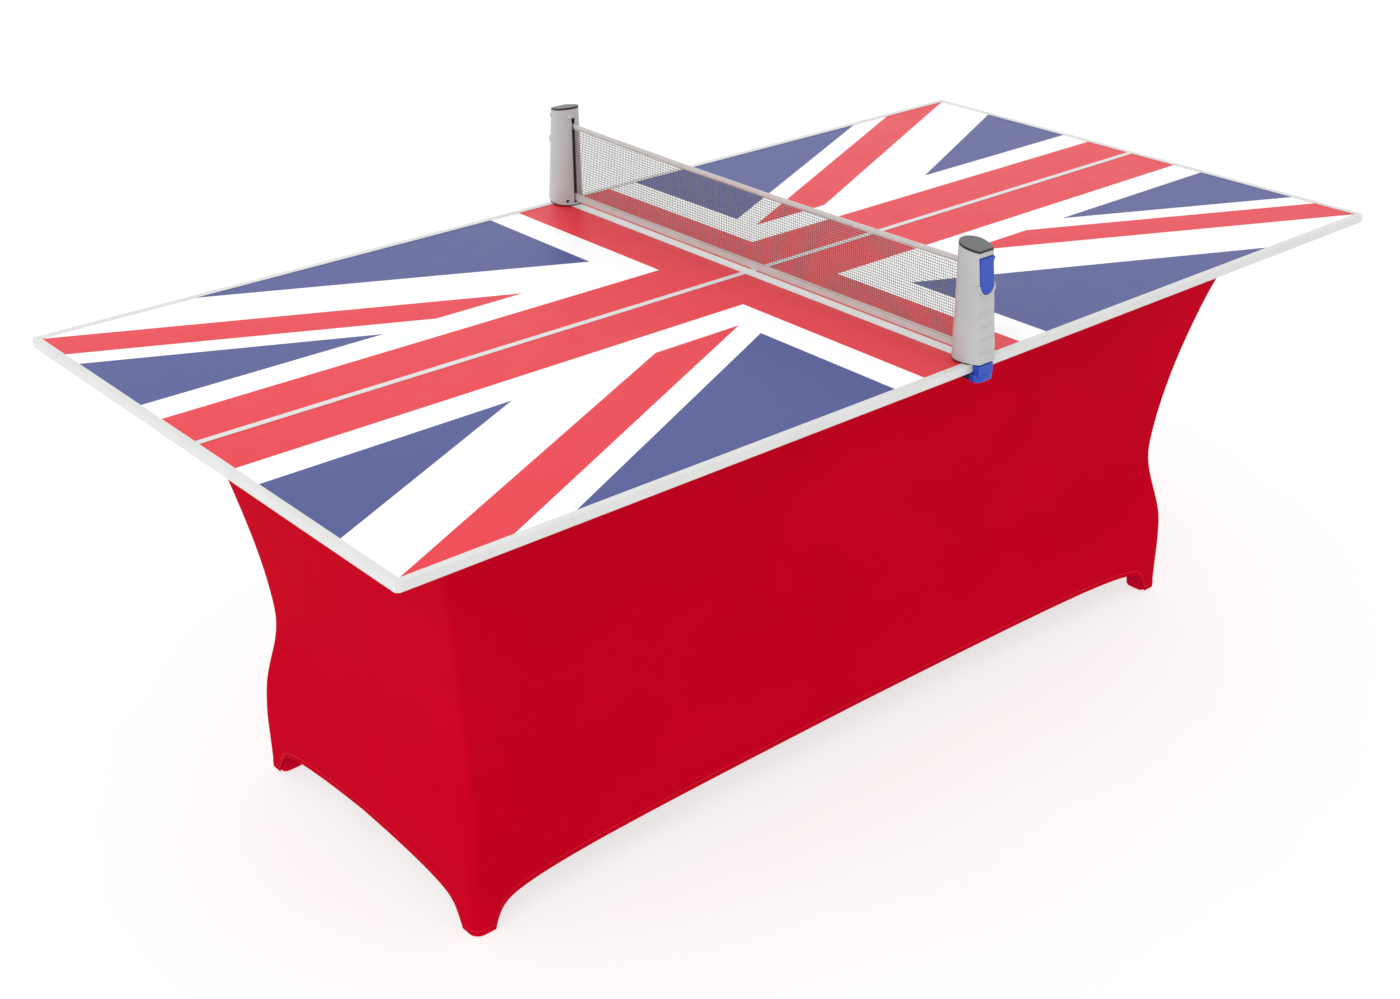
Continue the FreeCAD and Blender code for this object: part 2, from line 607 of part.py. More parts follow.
def cover_nodes():
    """Top sheet and four walls of the cover, joined along the corner seams."""
    rim_x, rim_y, radius = cover_half_sizes(TABLE_HEIGHT)
    shell = cover_skin(0, 0).cut(cover_skin(COVER_THICK, 1))
    run_x, run_y = rim_x - COVER_WAIST_HALF_LENGTH, rim_y - COVER_WAIST_HALF_WIDTH
    out_x, out_y = rim_x + run_x / 2, rim_y + run_y / 2
    in_x, in_y = COVER_WAIST_HALF_LENGTH - run_x / 2, COVER_WAIST_HALF_WIDTH - run_y / 2
    near = prism([(-out_x, -out_y), (out_x, -out_y), (in_x, -in_y), (-in_x, -in_y)], 0,
                 TABLE_HEIGHT)
    right = prism([(in_x, -in_y), (out_x, -out_y), (out_x, out_y), (in_x, in_y)], 0,
                  TABLE_HEIGHT)
    near_wall = shell.common(near)
    right_wall = shell.common(right)
    return {
        "cover_top": rounded_block(rim_x, rim_y, radius, TABLE_HEIGHT, COVER_TOP_Z),
        "cover_near": near_wall,
        "cover_far": mirrored(near_wall, Y_AXIS),
        "cover_right": right_wall,
        "cover_left": mirrored(right_wall, X_AXIS),
    }


# ------------------------------------------------------------------- net posts

def post_outline(z, inset):
    """D-shaped outline of a post at a height: round towards the net, flat outside."""
    share = (z - CASE_LOW_Z) / (POST_HIGH_Z - CASE_LOW_Z)
    width = POST_BASE_WIDTH + share * (POST_TOP_WIDTH - POST_BASE_WIDTH) - 2 * inset
    depth = POST_BASE_DEPTH + share * (POST_TOP_DEPTH - POST_BASE_DEPTH) - inset
    flat = POST_BASE_FLAT + share * (POST_TOP_FLAT - POST_BASE_FLAT) - inset
    half = width / 2
    shoulder_u = inset + half
    run_in, run_out = half - flat / 2, depth - shoulder_u
    bend = (run_in ** 2 + run_out ** 2) / (2 * run_in)
    angle = math.asin(run_out / bend) / 2
    mid_x = half - bend + bend * math.cos(angle)
    mid_u = shoulder_u + bend * math.sin(angle)
    shoulders = [V(s * half, shoulder_u, z) for s in (-1, 1)]
    middles = [V(s * mid_x, mid_u, z) for s in (-1, 1)]
    corners = [V(s * flat / 2, depth, z) for s in (-1, 1)]
    return Part.Wire([
        Part.Arc(shoulders[0], V(0, inset, z), shoulders[1]).toShape(),
        Part.Arc(shoulders[1], middles[1], corners[1]).toShape(),
        Part.LineSegment(corners[1], corners[0]).toShape(),
        Part.Arc(corners[0], middles[0], shoulders[0]).toShape()])


def post_solid(z0, z1, inset):
    """Tapered D-shaped solid between two heights."""
    return Part.makeLoft([post_outline(z0, inset), post_outline(z1, inset)], True, True)


def below_slope(z):
    """Everything under the sloping top of a post, which is at height z in the middle."""
    fall = POST_TOP_FALL / POST_TOP_DEPTH
    middle = POST_TOP_DEPTH / 2
    near_u, far_u = -POST_BASE_DEPTH, 2 * POST_BASE_DEPTH
    return side_prism([(near_u, 0), (far_u, 0), (far_u, z - fall * (far_u - middle)),
                       (near_u, z - fall * (near_u - middle))], 2 * POST_BASE_WIDTH)


def outer_face_u(z):
    """How far out the flat outer face of the post is at a height."""
    share = (z - CASE_LOW_Z) / (POST_HIGH_Z - CASE_LOW_Z)
    return POST_BASE_DEPTH + share * (POST_TOP_DEPTH - POST_BASE_DEPTH)


def slot_for_button():
    """Opening in the outer shell for the lever's button, round at its lower end."""
    half = LEVER_WIDTH / 2 + LEVER_GAP
    centre_z = PLAY_Z + LEVER_LOW + LEVER_WIDTH / 2
    top_z = PLAY_Z + LEVER_HIGH + LEVER_GAP
    block = box(-half, half, POST_SPLIT_U + 5, 2 * POST_BASE_DEPTH, centre_z, top_z)
    round_end = rod(half, V(0, POST_SPLIT_U + 5, centre_z), Y_AXIS, 2 * POST_BASE_DEPTH)
    return block.fuse(round_end)


def scoop_rim(inside):
    """Raised lip of the outer shell round the lower end of the button."""
    half = LEVER_WIDTH / 2 + LEVER_GAP
    centre_z = PLAY_Z + LEVER_LOW + LEVER_WIDTH / 2
    reach = half + SCOOP_RIM_WIDTH
    start = V(0, POST_SPLIT_U + 5, centre_z)
    ring = rod(reach, start, Y_AXIS, POST_BASE_DEPTH).cut(
        rod(half, start, Y_AXIS, POST_BASE_DEPTH))
    ring = ring.common(box(-reach, reach, 0, 2 * POST_BASE_DEPTH, centre_z - reach, centre_z))
    return ring.common(post_solid(CASE_LOW_Z, CASE_HIGH_Z, -SCOOP_RIM_PROUD)).cut(inside)


def post_screw():
    """Self-tapping screw that holds the feet of the two shells together."""
    length = SCREW_BOSS_END_U - SCREW_BOSS_START_U
    start = V(SCREW_X, SCREW_BOSS_START_U - 1.5 * SCREW_R, PLAY_Z + SCREW_HEIGHT)
    head = rod(SCREW_HEAD_R, start, Y_AXIS, 1.5 * SCREW_R)
    return head.fuse(rod(SCREW_R, start, Y_AXIS, length - SCREW_R))


def post_shells(net_low, net_high, reel_side):
    """Inner and outer shell of one post casing, open at the top for the cap."""
    top_z = POST_HIGH_Z + POST_TOP_FALL
    outer = post_solid(CASE_LOW_Z, top_z, 0).common(below_slope(CASE_HIGH_Z))
    hollow = post_solid(CASE_LOW_Z + POST_WALL, top_z, POST_WALL)
    case = outer.cut(hollow).fuse(scoop_rim(outer))
    start = V(SCREW_X, SCREW_BOSS_START_U, PLAY_Z + SCREW_HEIGHT)
    boss = rod(SCREW_BOSS_R, start, Y_AXIS, SCREW_BOSS_END_U - SCREW_BOSS_START_U)
    case = case.fuse(boss.common(outer))
    case = case.cut(box(-NET_SLOT_LEFT, NET_SLOT_RIGHT, -1, 3 * POST_WALL, net_low, net_high))
    entry = V(SCREW_X, -1, PLAY_Z + SCREW_HEIGHT)
    case = case.cut(rod(SCREW_HEAD_R, entry, Y_AXIS, SCREW_BOSS_START_U + 1))
    case = case.cut(post_screw())
    case = case.cut(slot_for_button())
    arm = LEVER_ARM_WIDTH / 2 + LEVER_GAP
    swing = outer_face_u(CASE_LOW_Z) - POST_WALL - LEVER_GAP
    case = case.cut(box(-arm, arm, POST_INBOARD - 5, swing, CASE_LOW_Z - 1,
                        CASE_LOW_Z + POST_WALL + 1))
    case = case.cut(lever_pin())
    for i in range(GRIP_NOTCHES):
        z = PLAY_Z + GRIP_NOTCH_LOW + i * GRIP_NOTCH_PITCH
        u = outer_face_u(z) + GRIP_NOTCH_R - GRIP_NOTCH_DEPTH
        start = V(-POST_BASE_WIDTH, u, z)
        case = case.cut(rod(GRIP_NOTCH_R, start, X_AXIS, 2 * POST_BASE_WIDTH))
    if reel_side:
        hook = Part.makeSphere(HOOK_R, V(-2 * HOOK_R, 1.0, PLAY_Z + HOOK_HEIGHT))
        case = case.fuse(hook.common(box(-20, 20, -20, POST_WALL, CASE_LOW_Z, CASE_HIGH_Z)))
    span = 2 * POST_BASE_WIDTH
    front = box(-span, span, -span, POST_SPLIT_U, 0, 2 * POST_HIGH_Z)
    inner = case.common(front)
    return (max(inner.Solids, key=lambda s: s.Volume),
            max(case.cut(front).Solids, key=lambda s: s.Volume))


def post_cap():
    """Lid with a plug that fits inside the casing."""
    low_z, top_z = CASE_HIGH_Z - POST_CAP_PLUG, POST_HIGH_Z + POST_TOP_FALL
    lid = post_solid(CASE_LOW_Z, top_z, 0).common(below_slope(POST_HIGH_Z))
    plug = post_solid(CASE_LOW_Z, top_z, POST_WALL + FIT_GAP).common(below_slope(POST_HIGH_Z - 1))
    return lid.cut(below_slope(CASE_HIGH_Z)).fuse(plug.cut(below_slope(low_z)))


def post_pad():
    """Rubber pad under the part of the post that stands on the board."""
    pad = post_solid(POST_LOW_Z, CASE_LOW_Z, 0)
    return pad.common(box(-POST_BASE_WIDTH, POST_BASE_WIDTH, 0, POST_INBOARD, 0, POST_HIGH_Z))


def lever_pin():
    """Steel pin across the casing, in blind seats, that the clamp lever turns on."""
    reach = rod(LEVER_PIN_R, V(-POST_BASE_WIDTH, LEVER_PIN_U, PIN_Z), X_AXIS,
                2 * POST_BASE_WIDTH)
    return reach.common(post_solid(CASE_LOW_Z, CASE_HIGH_Z, LEVER_PIN_SKIN))


def clamp_lever():
    """Button, arm, strap and jaw of the clamp in one moulding."""
    low, high = PLAY_Z + LEVER_LOW, PLAY_Z + LEVER_HIGH
    face_low, face_high = outer_face_u(low) + LEVER_PROUD, outer_face_u(high) + LEVER_PROUD
    inner_u = LEVER_PIN_U - LEVER_THICK / 2
    plate = side_prism([(inner_u, low), (face_low, low), (face_high, high), (inner_u, high)],
                       LEVER_WIDTH)
    half = LEVER_WIDTH / 2
    centre_z = low + half
    outline = box(-half, half, 0, 2 * POST_BASE_DEPTH, centre_z, high + 1)
    outline = outline.fuse(rod(half, V(0, 0, centre_z), Y_AXIS, 2 * POST_BASE_DEPTH))
    plate = plate.common(outline)
    lip_low = high - LEVER_LIP_HEIGHT
    lip = side_prism([(inner_u, lip_low), (outer_face_u(lip_low) + LEVER_PROUD, lip_low),
                      (face_high + LEVER_LIP, high - 2), (face_high + LEVER_LIP, high),
                      (inner_u, high)], LEVER_WIDTH)
    arm_half = LEVER_ARM_WIDTH / 2
    strap_top = CASE_LOW_Z - JAW_STRAP_DROP
    arm_low = CASE_LOW_Z + LEVER_GAP
    arm = box(-arm_half, arm_half, inner_u, inner_u + LEVER_THICK, arm_low, centre_z)
    strap_u = POST_INBOARD + JAW_EDGE_GAP
    jaw_top, jaw_low = PLAY_Z - JAW_TOP, PLAY_Z - JAW_BOTTOM
    strap = box(-JAW_STRAP_WIDTH / 2, JAW_STRAP_WIDTH / 2, strap_u, strap_u + JAW_STRAP_THICK,
                jaw_top - JAW_ROUND, strap_top)
    neck = box(-arm_half, arm_half, strap_u, strap_u + JAW_NECK_THICK, strap_top - 1,
               arm_low + LEVER_THICK)
    jaw_in = POST_INBOARD - JAW_EDGE_GAP
    jaw = box(-JAW_WIDTH / 2, JAW_WIDTH / 2, jaw_in, JAW_OUT, jaw_low, jaw_top - 1)
    upright = [e for e in jaw.Edges
               if all(v.Point.y > JAW_OUT - 1 for v in e.Vertexes)
               and e.BoundBox.ZLength > JAW_ROUND]
    jaw = jaw.makeFillet(JAW_CORNER_R, upright)
    level = [e for e in jaw.Edges
             if e.BoundBox.ZLength < 1 and e.BoundBox.YMax > jaw_in + JAW_CORNER_R / 2]
    jaw = jaw.makeFillet(JAW_ROUND, level)
    notch_z = LEVER_HUB_R + 3
    hub_half = LEVER_HUB_WIDTH / 2
    for s in (-1, 1):
        x0, x1 = sorted((s * hub_half, s * LEVER_WIDTH))
        arm = arm.cut(box(x0, x1, 0, 2 * POST_BASE_DEPTH, PIN_Z - notch_z, PIN_Z + notch_z))
    hub = rod(LEVER_HUB_R, V(-hub_half, LEVER_PIN_U, PIN_Z), X_AXIS, LEVER_HUB_WIDTH)
    body = plate.multiFuse([lip, arm, neck, strap, jaw, hub])
    bore = rod(LEVER_PIN_R + RUNNING_FIT, V(-LEVER_WIDTH, LEVER_PIN_U, PIN_Z), X_AXIS,
               2 * LEVER_WIDTH)
    return body.cut(bore).removeSplitter()


def jaw_pad():
    """Black rubber inner jaw that grips the underside of the board."""
    jaw_in = POST_INBOARD - JAW_EDGE_GAP
    half = JAW_PAD_WIDTH / 2
    pad = box(-half, half, JAW_PAD_IN, jaw_in, PLAY_Z - JAW_BOTTOM + 2, TRIM_LOW_Z - FIT_GAP)
    return pad


def lever_spring():
    """Torsion spring: turns round the pin on both sides of the hub."""
    turns = []
    pitch = 2 * LEVER_SPRING_WIRE_R
    for s in (-1, 1):
        for i in range(LEVER_SPRING_TURNS):
            x = s * (LEVER_HUB_WIDTH / 2 + LEVER_SPRING_WIRE_R + 0.2 + i * (pitch + 0.1))
            turns.append(Part.makeTorus(LEVER_SPRING_R, LEVER_SPRING_WIRE_R,
                                        V(x, LEVER_PIN_U, PIN_Z), X_AXIS))
    return group(turns)


def net_reel():
    """Spool that the net winds on, with a bore for its axle."""
    low = PLAY_Z + REEL_LIFT
    centre = V(REEL_R, REEL_U, low)
    spool = rod(REEL_R, centre, Z_AXIS, REEL_HEIGHT)
    return spool.cut(rod(REEL_AXLE_R + RUNNING_FIT, centre, Z_AXIS, REEL_HEIGHT))


def reel_axle():
    """Steel axle from the floor of the casing to the cap."""
    low = CASE_LOW_Z + POST_WALL
    high = CASE_HIGH_Z - POST_CAP_PLUG - 2 * FIT_GAP
    return rod(REEL_AXLE_R, V(REEL_R, REEL_U, low), Z_AXIS, high - low)


def reel_spring():
    """Barrel of the clock spring that winds the net back."""
    low = PLAY_Z + REEL_LIFT + REEL_HEIGHT + 1
    start = V(REEL_R, REEL_U, low)
    barrel = rod(REEL_R, start, Z_AXIS, REEL_SPRING_HEIGHT)
    return barrel.cut(rod(REEL_AXLE_R, start, Z_AXIS, REEL_SPRING_HEIGHT))


def net_anchor():
    """Bar inside the near post that the end of the net is sewn round."""
    low = CASE_LOW_Z + POST_WALL
    high = PLAY_Z + NET_TOP
    return rod(ANCHOR_R, V(0, ANCHOR_U, low), Z_AXIS, high - low)


def net_nodes():
    """Mesh and its two tapes, from the anchor in one post to the reel in the other."""
    near_y = -(POST_FACE_Y + ANCHOR_U - ANCHOR_R - FIT_GAP)
    far_y = POST_FACE_Y + REEL_U - REEL_R - FIT_GAP
    top, low = PLAY_Z + NET_TOP, PLAY_Z + NET_BOTTOM
    tape_low, tape_high = top - NET_TOP_TAPE, low + NET_BOTTOM_TAPE
    half, tape_half = NET_THICK / 2, TAPE_THICK / 2
    return {
        "net_mesh": box(-half, half, near_y, far_y, tape_high, tape_low),
        "net_top_tape": box(-tape_half, tape_half, near_y, far_y, tape_low, top),
        "net_bottom_tape": box(-tape_half, tape_half, near_y, far_y, low, tape_high),
    }


def post_nodes():
    """Both posts with their clamps, and the reel in the far post."""
    low, high = PLAY_Z + NET_BOTTOM - NET_SLOT_UNDER, PLAY_Z + NET_TOP + NET_SLOT_OVER
    nodes = {}
    for edge, across in EDGES:
        reel_side = across > 0
        inner, outer = post_shells(low, high, reel_side)
        local = {
            "post_%s_inner_shell": inner,
            "post_%s_outer_shell": outer,
            "post_%s_cap": post_cap(),
            "post_%s_base_pad": post_pad(),
            "post_%s_screw_and_pin": group([post_screw(), lever_pin()]),
            "clamp_%s_lever": clamp_lever(),
            "clamp_%s_jaw_pad": jaw_pad(),
            "clamp_%s_spring": lever_spring(),
        }
        if reel_side:
            local.update({"net_reel": net_reel(), "net_reel_axle": reel_axle(),
                          "net_reel_spring": reel_spring()})
        else:
            local["net_anchor_bar"] = net_anchor()
        for name, shape in local.items():
            placed = shape.copy() if across > 0 else mirrored(shape, Y_AXIS)
            placed.translate(V(0, across * POST_FACE_Y, 0))
            nodes[name % edge if "%s" in name else name] = placed
    return nodes


def all_nodes():
    """Every node of the object by name."""
    nodes = {
        "table_top": table_top(),
        "side_rails": side_rails(),
        "rail_screws": rail_screws(),
        "brace_tracks": brace_tracks(),
    }
    nodes.update(cover_nodes())
    for side, sign in SIDES:
        nodes.update(leg_nodes(side, sign))
        nodes["brace_" + side] = brace(sign)
    nodes.update(playing_top_nodes())
    nodes.update(post_nodes())
    nodes.update(net_nodes())
    return nodes


os.makedirs("parts", exist_ok=True)
built = all_nodes()
for node in sorted(built):
    part = built[node]
    size = part.BoundBox
    print("%-26s solids %d valid %s volume %.1f cm3  x %.1f..%.1f y %.1f..%.1f z %.1f..%.1f" % (
        node, len(part.Solids), part.isValid(), part.Volume / 1000, size.XMin, size.XMax,
        size.YMin, size.YMax, size.ZMin, size.ZMax))
    part.exportStep("parts/%s.step" % node)
print("nodes", len(built))
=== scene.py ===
# %% [markdown]
# # A table-tennis top on a covered folding table
# The jointed model comes first and never moves: it holds every hard part, in metres, with the floor at
# z = 0 and the length along X. This lesson gives that frame its looks. Hard parts are copied and get
# rounded edges, the stretch cover and the net are made here, and every finish is a node material.

# %% The jointed frame
import json
import math
import bmesh
import bpy
from mathutils import Matrix, Vector

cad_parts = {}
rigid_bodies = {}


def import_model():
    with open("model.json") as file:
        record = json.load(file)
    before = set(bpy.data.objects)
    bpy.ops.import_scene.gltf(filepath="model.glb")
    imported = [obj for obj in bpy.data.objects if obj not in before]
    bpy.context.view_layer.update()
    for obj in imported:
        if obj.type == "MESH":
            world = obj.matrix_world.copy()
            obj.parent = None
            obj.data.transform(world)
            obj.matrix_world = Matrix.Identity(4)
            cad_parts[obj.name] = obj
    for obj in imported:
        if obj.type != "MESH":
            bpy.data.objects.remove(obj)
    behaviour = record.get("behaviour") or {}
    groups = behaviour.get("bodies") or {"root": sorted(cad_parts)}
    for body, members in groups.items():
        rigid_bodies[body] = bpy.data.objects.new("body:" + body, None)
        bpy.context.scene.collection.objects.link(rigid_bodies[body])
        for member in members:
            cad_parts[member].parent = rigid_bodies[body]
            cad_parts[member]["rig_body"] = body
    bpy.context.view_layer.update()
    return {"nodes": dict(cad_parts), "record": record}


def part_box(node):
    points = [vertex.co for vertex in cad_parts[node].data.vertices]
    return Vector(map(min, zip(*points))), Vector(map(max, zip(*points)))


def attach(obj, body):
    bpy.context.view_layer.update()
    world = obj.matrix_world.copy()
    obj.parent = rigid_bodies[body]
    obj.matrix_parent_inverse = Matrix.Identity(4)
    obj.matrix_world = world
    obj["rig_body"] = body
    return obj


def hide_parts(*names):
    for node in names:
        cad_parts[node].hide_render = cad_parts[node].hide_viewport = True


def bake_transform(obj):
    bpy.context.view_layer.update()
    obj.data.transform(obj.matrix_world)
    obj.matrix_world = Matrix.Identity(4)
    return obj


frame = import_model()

MM = 0.001
SLOT_OF = {part["node"]: part["material_slot"] for part in frame["record"]["subparts"]}

# %% [markdown]
# Finishes are written as sRGB hex values, the way a paint card gives them, and shaders mix in linear
# light, so one function converts. A second adds any node: a value that is a socket becomes a link.

# %% Colours and nodes
def linear(code):
    """Linear RGBA of an sRGB hex colour."""
    parts = [int(code[i:i + 2], 16) / 255 for i in (1, 3, 5)]
    return tuple(c / 12.92 if c <= 0.04045 else ((c + 0.055) / 1.055) ** 2.4 for c in parts) + (1.0,)


def add_node(tree, kind, inputs=None, **settings):
    """Adds one node, sets its settings, and sets or links its inputs."""
    node = tree.nodes.new(kind)
    for name, value in settings.items():
        setattr(node, name, value)
    for key, value in (inputs or {}).items():
        if isinstance(value, bpy.types.NodeSocket):
            tree.links.new(value, node.inputs[key])
        else:
            node.inputs[key].default_value = value
    return node


def start_finish(name, **sockets):
    """A new material: returns it, its tree, its shader and the piece's own coordinates."""
    material = bpy.data.materials.new(name)
    material.use_nodes = True
    tree = material.node_tree
    shader = tree.nodes["Principled BSDF"]
    for key, value in sockets.items():
        shader.inputs[key.replace("_", " ")].default_value = value
    return material, tree, shader, add_node(tree, "ShaderNodeTexCoord")


print("white paper is", linear("#FFFFFF"))

# %% [markdown]
# Most hard parts are plastic. It is dyed right through, so its colour only clouds a little where the melt
# flowed, and its gloss comes from the mould: a spark-eroded mould leaves a fine pebble, a polished one
# almost none. Clouding, gloss and pebble are three noises, each with a size in millimetres.

# %% Plastics
CLOUD_MM = 70.0


def moulded_plastic(name, colour, pale, rough, grain_mm, depth_mm, ior=1.5):
    """Dyed plastic from a mould with a pebbled surface."""
    material, tree, shader, place = start_finish(name, IOR=ior)
    place = place.outputs["Object"]
    cloud = add_node(tree, "ShaderNodeTexNoise", {"Vector": place, "Scale": 1 / (CLOUD_MM * MM), "Detail": 3.0})
    colour = add_node(tree, "ShaderNodeMix", {0: cloud.outputs[0], 6: linear(colour), 7: linear(pale)},
                      data_type="RGBA")
    gloss = add_node(tree, "ShaderNodeMapRange", {0: cloud.outputs[0], 3: rough - 0.06, 4: rough + 0.06})
    grain = add_node(tree, "ShaderNodeTexNoise", {"Vector": place, "Scale": 1 / (grain_mm * MM), "Detail": 2.0})
    bump = add_node(tree, "ShaderNodeBump", {"Height": grain.outputs[0], "Strength": 0.6,
                                             "Distance": depth_mm * MM})
    tree.links.new(colour.outputs[2], shader.inputs["Base Color"])
    tree.links.new(gloss.outputs[0], shader.inputs["Roughness"])
    tree.links.new(bump.outputs[0], shader.inputs["Normal"])
    return material


# ABS casings: a soft satin that shows broad, faint highlights. The 0.3 mm pebble is drawn at 1.5 mm.
grey_abs = moulded_plastic("grey_abs_moulded", "#B1B2B2", "#BCBDBD", 0.42, 1.5, 0.04)
cap_abs = moulded_plastic("charcoal_abs_moulded", "#565757", "#626363", 0.45, 1.5, 0.04)
blue_abs = moulded_plastic("blue_abs_moulded", "#003CAE", "#0046BC", 0.4, 1.5, 0.03)
# Blow-moulded HDPE: waxy and deeply pebbled, to hide its sink marks.
pebbled_hdpe = moulded_plastic("white_hdpe_blow_moulded", "#DAD9D4", "#E4E3DF", 0.55, 4.0, 0.3, 1.54)
# EPDM rubber and EVA foam: dark and matt, with the open skin of a cut edge on the foam.
black_rubber = moulded_plastic("black_epdm_rubber", "#151515", "#202020", 0.75, 1.2, 0.08, 1.52)
grey_foam = moulded_plastic("charcoal_eva_foam", "#2A2B2D", "#38393B", 0.9, 2.0, 0.35, 1.45)
print("plastics", 6)


def paint_shade_on_sides(material, dark):
    """Leaves a moulding's own colour where it faces up, and paints shade on its sides in a darker colour."""
    tree = material.node_tree
    shader = tree.nodes["Principled BSDF"]
    own = shader.inputs["Base Color"].links[0].from_socket
    facing = add_node(tree, "ShaderNodeNewGeometry").outputs["True Normal"]
    upward = add_node(tree, "ShaderNodeSeparateXYZ", {0: facing}).outputs[2]
    # Faces that don't point up get the darker colour: painted shade.
    on_top = add_node(tree, "ShaderNodeMath", {0: upward, 1: 0.8}, operation="GREATER_THAN")
    colour = add_node(tree, "ShaderNodeMix", {0: on_top.outputs[0], 6: linear(dark), 7: own}, data_type="RGBA")
    tree.links.new(colour.outputs[2], shader.inputs["Base Color"])


# The cap is one charcoal plastic; its near-black sides are painted shade, not a second colour.
paint_shade_on_sides(cap_abs, "#1E1E1F")

# %% [markdown]
# The white edge trim is extruded, not moulded: PVC is pushed through a die, and every nick of the die
# drags a faint line along the whole length. A noise stretched along the trim gives those lines, so the
# long trims and the end trims need their own direction.

# %% Extruded trim
DIE_LINE_MM = 1.2


def extruded_pvc(name, along):
    """White PVC with die lines along one axis, 0 for X or 1 for Y."""
    material, tree, shader, place = start_finish(name, IOR=1.53)
    scale = [1 / (DIE_LINE_MM * MM)] * 3
    scale[along] = 1.5
    stretched = add_node(tree, "ShaderNodeMapping", {"Vector": place.outputs["Object"], "Scale": scale})
    lines = add_node(tree, "ShaderNodeTexNoise", {"Vector": stretched.outputs[0], "Scale": 1.0, "Detail": 2.0})
    cloud = add_node(tree, "ShaderNodeTexNoise", {"Vector": place.outputs["Object"],
                                                  "Scale": 1 / (CLOUD_MM * MM)})
    colour = add_node(tree, "ShaderNodeMix", {0: cloud.outputs[0], 6: linear("#CFD0CE"), 7: linear("#DBDCDB")},
                      data_type="RGBA")
    gloss = add_node(tree, "ShaderNodeMapRange", {0: lines.outputs[0], 3: 0.32, 4: 0.46})
    bump = add_node(tree, "ShaderNodeBump", {"Height": lines.outputs[0], "Strength": 0.5,
                                             "Distance": 0.05 * MM})
    tree.links.new(colour.outputs[2], shader.inputs["Base Color"])
    tree.links.new(gloss.outputs[0], shader.inputs["Roughness"])
    tree.links.new(bump.outputs[0], shader.inputs["Normal"])
    return material


long_trim_pvc = extruded_pvc("white_pvc_extruded_lengthwise", 0)
end_trim_pvc = extruded_pvc("white_pvc_extruded_crosswise", 1)
print("trim die lines", DIE_LINE_MM, "mm")

# %% [markdown]
# Steel shows twice. The legs are powder-coated: the powder melts into a skin with a gentle orange peel.
# The screws, springs and pins are zinc-plated: bare bright metal, clouded by the plating bath.

# %% Steels
PEEL_MM = 3.0
BATH_MM, POLISH_MM = 6, 0.8


def powder_coat():
    """Grey powder coat on steel tube, with its orange peel."""
    material, tree, shader, place = start_finish("grey_powder_coated_steel", IOR=1.5)
    place = place.outputs["Object"]
    peel = add_node(tree, "ShaderNodeTexNoise", {"Vector": place, "Scale": 1 / (PEEL_MM * MM), "Detail": 1.0})
    colour = add_node(tree, "ShaderNodeMix", {0: peel.outputs[0], 6: linear("#5C6064"), 7: linear("#686C70")},
                      data_type="RGBA")
    gloss = add_node(tree, "ShaderNodeMapRange", {0: peel.outputs[0], 3: 0.28, 4: 0.42})
    bump = add_node(tree, "ShaderNodeBump", {"Height": peel.outputs[0], "Strength": 0.5,
                                             "Distance": 0.15 * MM})
    tree.links.new(colour.outputs[2], shader.inputs["Base Color"])
    tree.links.new(gloss.outputs[0], shader.inputs["Roughness"])
    tree.links.new(bump.outputs[0], shader.inputs["Normal"])
    return material


def zinc_plate():
    """Bright zinc on steel, with the clouds of the bath and fine polishing marks."""
    material, tree, shader, place = start_finish("zinc_plated_steel", Metallic=1.0)
    place = place.outputs["Object"]
    bath = add_node(tree, "ShaderNodeTexNoise", {"Vector": place, "Scale": 1 / (BATH_MM * MM), "Detail": 3.0})
    marks = add_node(tree, "ShaderNodeTexNoise", {"Vector": place, "Scale": 1 / (POLISH_MM * MM), "Detail": 2.0})
    colour = add_node(tree, "ShaderNodeMix", {0: bath.outputs[0], 6: linear("#A9ADB2"), 7: linear("#C6C9CC")},
                      data_type="RGBA")
    gloss = add_node(tree, "ShaderNodeMapRange", {0: bath.outputs[0], 3: 0.22, 4: 0.4})
    bump = add_node(tree, "ShaderNodeBump", {"Height": marks.outputs[0], "Strength": 0.3,
                                             "Distance": 0.03 * MM})
    tree.links.new(colour.outputs[2], shader.inputs["Base Color"])
    tree.links.new(gloss.outputs[0], shader.inputs["Roughness"])
    tree.links.new(bump.outputs[0], shader.inputs["Normal"])
    return material


coated_steel = powder_coat()
zinc_steel = zinc_plate()
print("steels", 2)

# %% [markdown]
# The playing face is a printed film under a satin laminate. Its pattern is flat and exact, so it is
# worked out from coordinates: a cross on the middle lines, diagonals to the corners, and a red stripe on
# one side of each diagonal. Every edge is one comparison, and a short list of sums names them all.

# %% Printed film
PRINT_HALF_LENGTH, PRINT_HALF_WIDTH = 1012.6 * MM, 503.0 * MM
CROSS_RED, CROSS_WHITE_X, CROSS_WHITE_Y = 105.6 * MM, 167.0 * MM, 168.5 * MM
DIAGONAL_WHITE, DIAGONAL_RED = 132.0 * MM, 84.0 * MM
SPECK_MM, LAMINATE_MM = 40, 5

